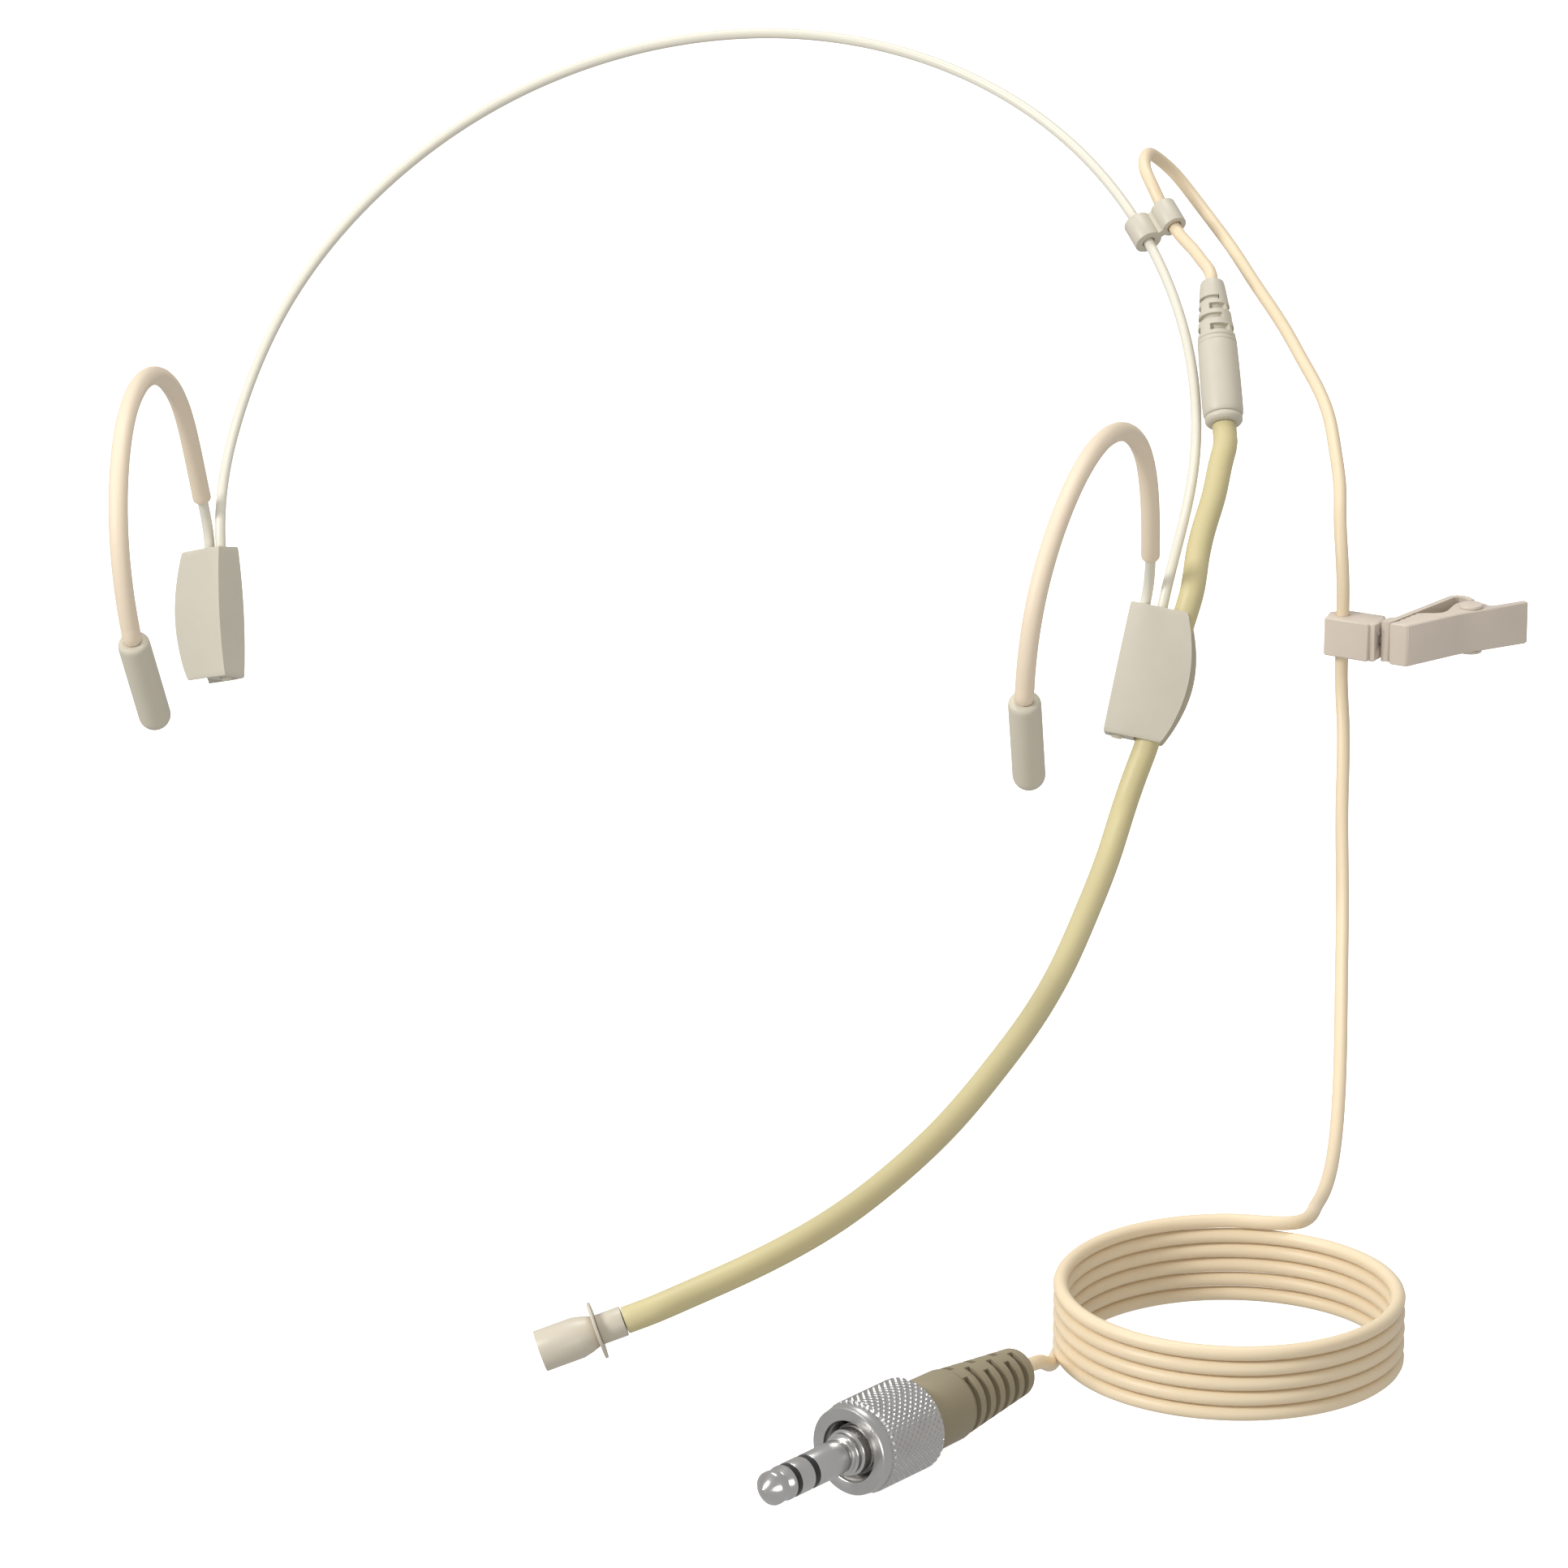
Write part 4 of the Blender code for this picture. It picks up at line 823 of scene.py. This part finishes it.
class HEADSET_OT_wire_clip(Maker, bpy.types.Operator):
    """Clip of two barrels that holds the cable beside the neckband"""

    bl_idname = "headset.wire_clip"
    bl_label = "Wire clip"

    def make(self, sizes, colours):
        plastic = moulded("wire_clip_plastic", colours.block, 0.42, 0.3, 5e-6)
        here, along, across = clip_place()
        half, cable_r = 1.65, sizes.cable / MM / 2
        band = spun([(0.74, -half), (1.65, -half), (1.65, half), (0.74, half)], 64)
        sleeve = arc_cutter(cable_r + 0.12, 1.52, -half, half, -62, 238)
        lip = arc_cutter(cable_r + 0.1, cable_r + 0.5, -half + 0.1, half - 0.1, -118, -66)
        for hook in (sleeve, lip):
            bmesh.ops.translate(hook, vec=(CLIP_PITCH, 0, 0), verts=hook.verts)
        web = brick((1.8, 0.0, 0), (0.7, 1.1, 2 * half - 0.12))
        whole = joined(softened(band, 0.09, 40, 2), softened(sleeve, 0.09, 40, 2),
                       softened(lip, 0.05, 40, 2), softened(web, 0.08, 40, 2))
        local = place(here, along, across)
        show(piece(whole, "band_cable_clip", local, 40), "headband", "cable_clip", plastic)


class HEADSET_OT_garment_clip(Maker, bpy.types.Operator):
    """Garment clip: cable holder, swivelling fixed jaw and sprung lever"""

    bl_idname = "headset.garment_clip"
    bl_label = "Garment clip"

    @staticmethod
    def rounded_copy(node, name, width, least):
        """A merged copy of a frame node with its long edges rounded over."""
        bm = bmesh.new()
        bm.from_mesh(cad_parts[node].data)
        bmesh.ops.scale(bm, vec=(1 / MM,) * 3, verts=bm.verts)
        bmesh.ops.remove_doubles(bm, verts=bm.verts, dist=1e-3)
        bmesh.ops.dissolve_limit(bm, angle_limit=math.radians(1.5), verts=bm.verts,
                                 edges=bm.edges)
        softened(bm, width, 35, 3, least)
        return piece(bm, name, Matrix.Identity(4), 40)

    def make(self, sizes, colours):
        plastic = moulded("garment_clip_plastic", colours.garment, 0.4, 0.3, 5e-6)
        steel = turned_metal("clip_steel", (0.55, 0.55, 0.55), 0.3, Vector(CLIP_PIVOT) * MM,
                             (0, 0, 1))
        show(self.rounded_copy("cable_holder", "garment_clip_holder", 0.1, 0.8), "headband",
             "cable_holder", plastic)
        show(self.rounded_copy("fixed_jaw", "garment_clip_back", 0.08, 0.7), "garment_clip",
             "fixed_jaw", plastic)
        show(self.rounded_copy("lever_jaw", "garment_clip_lever", 0.12, 0.7), "clip_lever",
             "lever_jaw", plastic)
        local = place(CLIP_PIVOT, (0, 0, 1), (1, 0, 0))
        head = [(0, 2.8), (1.1, 2.8), (1.28, 2.76), (1.35, 2.66), (1.35, 2.45)]
        pin = spun([(r, -z) for r, z in head] + [(0.65, -2.45), (0.65, 2.45)]
                   + [(r, z) for r, z in head[::-1]], 56)
        show(piece(pin, "garment_clip_rivet", local), "garment_clip", "clip_rivet", plastic)
        coils = [Vector(CLIP_PIVOT) + Vector((0.9 * math.cos(a), 0.9 * math.sin(a),
                                              0.42 + 0.78 * a / (3 * TURN)))
                 for a in [TURN * k / 24 for k in range(73)]]
        show(cord("garment_clip_spring", coils, 0.22), "garment_clip", "clip_spring", steel)
        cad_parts["swivel_stud"].data.materials.clear()
        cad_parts["swivel_stud"].data.materials.append(steel)


class HEADSET_OT_plug(Maker, bpy.types.Operator):
    """Locking mini-jack plug: knurled ring, collar, jack, moulding and ribbed boot"""

    bl_idname = "headset.plug"
    bl_label = "Plug"

    def knurled_ring(self, sizes):
        """A fine shell spun up, then pushed in along two families of crossing grooves."""
        count, depth = sizes.knurl_count, sizes.knurl_depth / MM
        radius, bore = 4.7, 3.0
        pitch = TURN * radius / count * 1.06
        rows = int(round((RING_L - 2.0) / pitch)) * 8
        z0, z1 = -1.62, -RING_L + 0.38
        band = [(radius, z0 + (z1 - z0) * k / rows) for k in range(rows + 1)]
        threads = [(bore + (0.0 if k % 2 else 0.17), -3.6 + 0.25 * k) for k in range(13)]
        profile = ([(2.4, -RING_L), (radius - 0.5, -RING_L), (radius - 0.22, -RING_L + 0.12),
                    (radius - 0.12, -RING_L + 0.3)] + band[::-1]
                   + [(radius - 0.2, -1.5), (radius - 0.22, -1.34), (radius - 0.2, -1.28),
                      (radius - 0.22, -0.6), (radius - 0.26, -0.52), (radius - 0.28, -0.1),
                      (radius - 0.38, 0.0), (bore + 0.2, 0.0), (bore + 0.12, -0.06)]
                   + threads[::-1]
                   + [(bore, -3.8), (bore, -RING_L + 1.0), (2.4, -RING_L + 0.9)])
        bm = spun(profile, count * 8)
        for v in bm.verts:
            if z1 - 1e-4 <= v.co.z <= z0 + 1e-4:
                r = math.hypot(v.co.x, v.co.y)
                if r < radius - 0.01:
                    continue
                a = math.atan2(v.co.y, v.co.x) / TURN * count
                z = (v.co.z - z0) / (z1 - z0) * rows / 8
                crest = min(abs((a + z) % 1.0 - 0.5), abs((a - z) % 1.0 - 0.5)) * 2
                push = depth * (1 - min(1.0, 1.35 * (1 - crest)) ** 0.8)
                v.co.x *= (r - push) / r
                v.co.y *= (r - push) / r
        return bm

    def ribbed_boot(self, sizes):
        """Tapered boot with deep grooves, each bridged on two sides in turn."""
        start, ribs = -RING_L - 0.3 - PLUG_BODY_L - AIR, sizes.boot_ribs
        end, r0, r1 = start - PLUG_BOOT_L, 3.55, 2.45
        at = lambda z: r0 + (r1 - r0) * (start - z) / PLUG_BOOT_L
        outer = [(at(start - PLUG_BOOT_L * k / 24), start - PLUG_BOOT_L * k / 24)
                 for k in range(24)]
        body = spun([(0, start)] + outer + [(r1 + 0.02, end + 0.4), (r1 - 0.06, end + 0.2),
                                            (r1 - 0.22, end + 0.05), (r1 - 0.45, end),
                                            (0.85, end), (0.85, end + 0.5), (0, end + 0.5)], 96)
        pitch = (PLUG_BOOT_L - 0.55) / ribs
        cutters = []
        for k in range(ribs):
            z = start - 0.1 - pitch * k
            for half in (0, 180):
                turn = half - 2 + 20 * (k % 2)
                cutters.append(arc_cutter(at(z) - 1.15, at(z) + 1, z - 0.8, z, turn, turn + 154))
        return carved(body, [joined(*cutters)])

    def make(self, sizes, colours):
        local = place(PLUG_AT, PLUG_FORWARD)
        centre = PLUG_AT * MM
        plating = turned_metal("nickel_plating", colours.plating, 0.24, centre, PLUG_FORWARD)
        knurl = turned_metal("knurled_nickel", tint(colours.plating, 0.95), 0.3, centre,
                             PLUG_FORWARD)
        soft = moulded("plug_moulding", colours.plug, 0.5, 0.4, 8e-6, 0.06)
        black = moulded("insulator_black", (0.018, 0.018, 0.018), 0.35)
        ring = piece(self.knurled_ring(sizes), "knurled_ring", local, 42)
        show(ring, "plug_ring", "locking_ring", knurl)
        rc = 2.55
        ridges = [(rc - (0.0 if k % 2 else 0.16), -3.2 + 0.24 * k) for k in range(11)]
        tail = -RING_L + 0.3
        collar = spun([(0, tail), (1.6, tail), (1.6, tail + 0.6), (rc - 0.2, tail + 0.7), (rc - 0.2, -3.4)]
                      + ridges + [(rc - 0.22, -0.72), (rc - 0.22, 0.28), (rc - 0.28, 0.36),
                                  (rc - 0.45, 0.4), (rc - 0.45, 0.92), (rc - 0.5, 0.98),
                                  (1.82, 1.02), (1.82, 1.3), (1.66, 1.4), (0, 1.4)], 80)
        show(piece(softened(collar, 0.03, 50, 2), "threaded_collar", local, 30), "headband",
             "plug_collar", plating)
        shapes = {
            "sleeve": [(0, 1.45), (1.68, 1.45), (1.72, 1.6), (JACK_R, 1.9),
                       (JACK_R, SLEEVE_END), (0, SLEEVE_END)],
            "ring": [(0, CONTACT_RING[0]), (JACK_R, CONTACT_RING[0]), (JACK_R, CONTACT_RING[1]),
                     (0, CONTACT_RING[1])],
            "tip": [(0, JACK_TIP_START), (JACK_R, JACK_TIP_START), (JACK_R, 9.95),
                    (1.68, 10.07), (1.36, 10.4), (1.33, 10.5), (1.38, 10.6),
                    (1.56, 10.7), (1.66, 10.85), (1.7, 11.25),
                    (1.69, 11.6), (1.62, 11.76), (0.56, 12.72), (0.42, 12.78), (0.4, 12.84),
                    (0.34, 12.89), (0.2, 12.9), (0, 12.9)],
        }
        for name, outline in shapes.items():
            bm = softened(spun(outline, 80), 0.04, 50, 2)
            show(piece(bm, "jack_contact_" + name, local, 26), "headband", "jack_" + name,
                 plating)
        for k, (z0, z1) in enumerate(INSULATORS, 1):
            bm = softened(spun([(0, z0), (1.71, z0), (1.71, z1), (0, z1)], 80), 0.03, 50, 2)
            show(piece(bm, f"jack_black_ring_{k}", local), "headband", f"jack_insulator_{k}",
                 black)
        back = -RING_L - 0.3
        body = spun([(0, back), (3.5, back), (3.64, back - 0.04),
                     (3.7, back - 0.16), (3.7, back - 2.7), (3.66, back - PLUG_BODY_L + 0.3),
                     (3.62, back - PLUG_BODY_L + 0.1), (3.55, back - PLUG_BODY_L),
                     (0, back - PLUG_BODY_L)], 96)
        show(piece(body, "plug_handle", local, 34), "headband", "plug_body", soft)
        boot = piece(self.ribbed_boot(sizes), "plug_ribbed_boot", local, 34)
        eased_edges(boot, 40, 0.07)
        show(boot, "headband", "plug_boot", soft)


class HEADSET_OT_cable(Maker, bpy.types.Operator):
    """The thin cable, from the strain relief through both clips and its coil to the plug"""

    bl_idname = "headset.cable"
    bl_label = "Cable"

    def make(self, sizes, colours):
        axis = connector_axis()
        start = Vector(BOOM_UPPER[0]) + axis * (5 * AIR + BARREL_L + BOOT_L)
        here, along, across = clip_place()
        spot = here + across * CLIP_PITCH
        route = [start, start + axis * 0.5] + [Vector(p) for p in CABLE_TO_CLIP]
        route += [spot + along * k for k in (1.9, 0.0, -1.9)] + [Vector(p) for p in CABLE_DOWN]
        route += [HOLDER_AT + Vector((0, 0, k)) for k in (3.4, 0.0, -3.4)]
        route += [Vector(p) for p in CABLE_FLOOR]
        steps = 150
        for k in range(steps + 1):
            a = math.radians(COIL_START_DEG + (COIL_END_DEG - COIL_START_DEG) * k / steps)
            route.append(Vector(COIL_AT) + Vector((COIL_RADIUS * math.cos(a),
                                                   COIL_RADIUS * math.sin(a),
                                                   -COIL_DROP * k / steps)))
        end = PLUG_AT - PLUG_FORWARD * (RING_L + 0.3 + PLUG_BODY_L + AIR + PLUG_BOOT_L + 2 * AIR)
        route += [Vector(p) for p in TAIL] + [end - PLUG_FORWARD * 1.5, end]
        line = smooth_route(route, 0.7)
        skin = jacket("cable_jacket", colours.cable, tint(colours.cable, 0.93), 0.42)
        cable = cord("thin_cable", line, sizes.cable / MM)
        show(cable, "headband", ("cable_run", "cable_hank", "cable_tail"), skin)


class HEADSET_PT_panel(bpy.types.Panel):
    """Sidebar panel that lists the pieces and what may be changed"""

    bl_label = "Headset microphone"
    bl_idname = "HEADSET_PT_panel"
    bl_space_type = "VIEW_3D"
    bl_region_type = "UI"
    bl_category = "Headset"

    def draw(self, context):
        for group in (context.scene.headset_sizes, context.scene.headset_colours):
            box = self.layout.box()
            for name in group.__annotations__:
                box.prop(group, name)
        for operator in OPERATORS:
            self.layout.operator(operator.bl_idname)


OPERATORS = (HEADSET_OT_stage, HEADSET_OT_neckband, HEADSET_OT_blocks, HEADSET_OT_ear_hooks,
             HEADSET_OT_boom, HEADSET_OT_capsule, HEADSET_OT_connector, HEADSET_OT_wire_clip,
             HEADSET_OT_garment_clip, HEADSET_OT_plug, HEADSET_OT_cable)
CLASSES = (HeadsetSizes, HeadsetColours, *OPERATORS, HEADSET_PT_panel)


def register():
    for cls in CLASSES:
        bpy.utils.register_class(cls)
    bpy.types.Scene.headset_sizes = PointerProperty(type=HeadsetSizes)
    bpy.types.Scene.headset_colours = PointerProperty(type=HeadsetColours)


def unregister():
    del bpy.types.Scene.headset_colours
    del bpy.types.Scene.headset_sizes
    for cls in reversed(CLASSES):
        bpy.utils.unregister_class(cls)


def main():
    register()
    for operator in OPERATORS:
        group, name = operator.bl_idname.split(".")
        getattr(getattr(bpy.ops, group), name)()


if __name__ == "__main__":
    main()
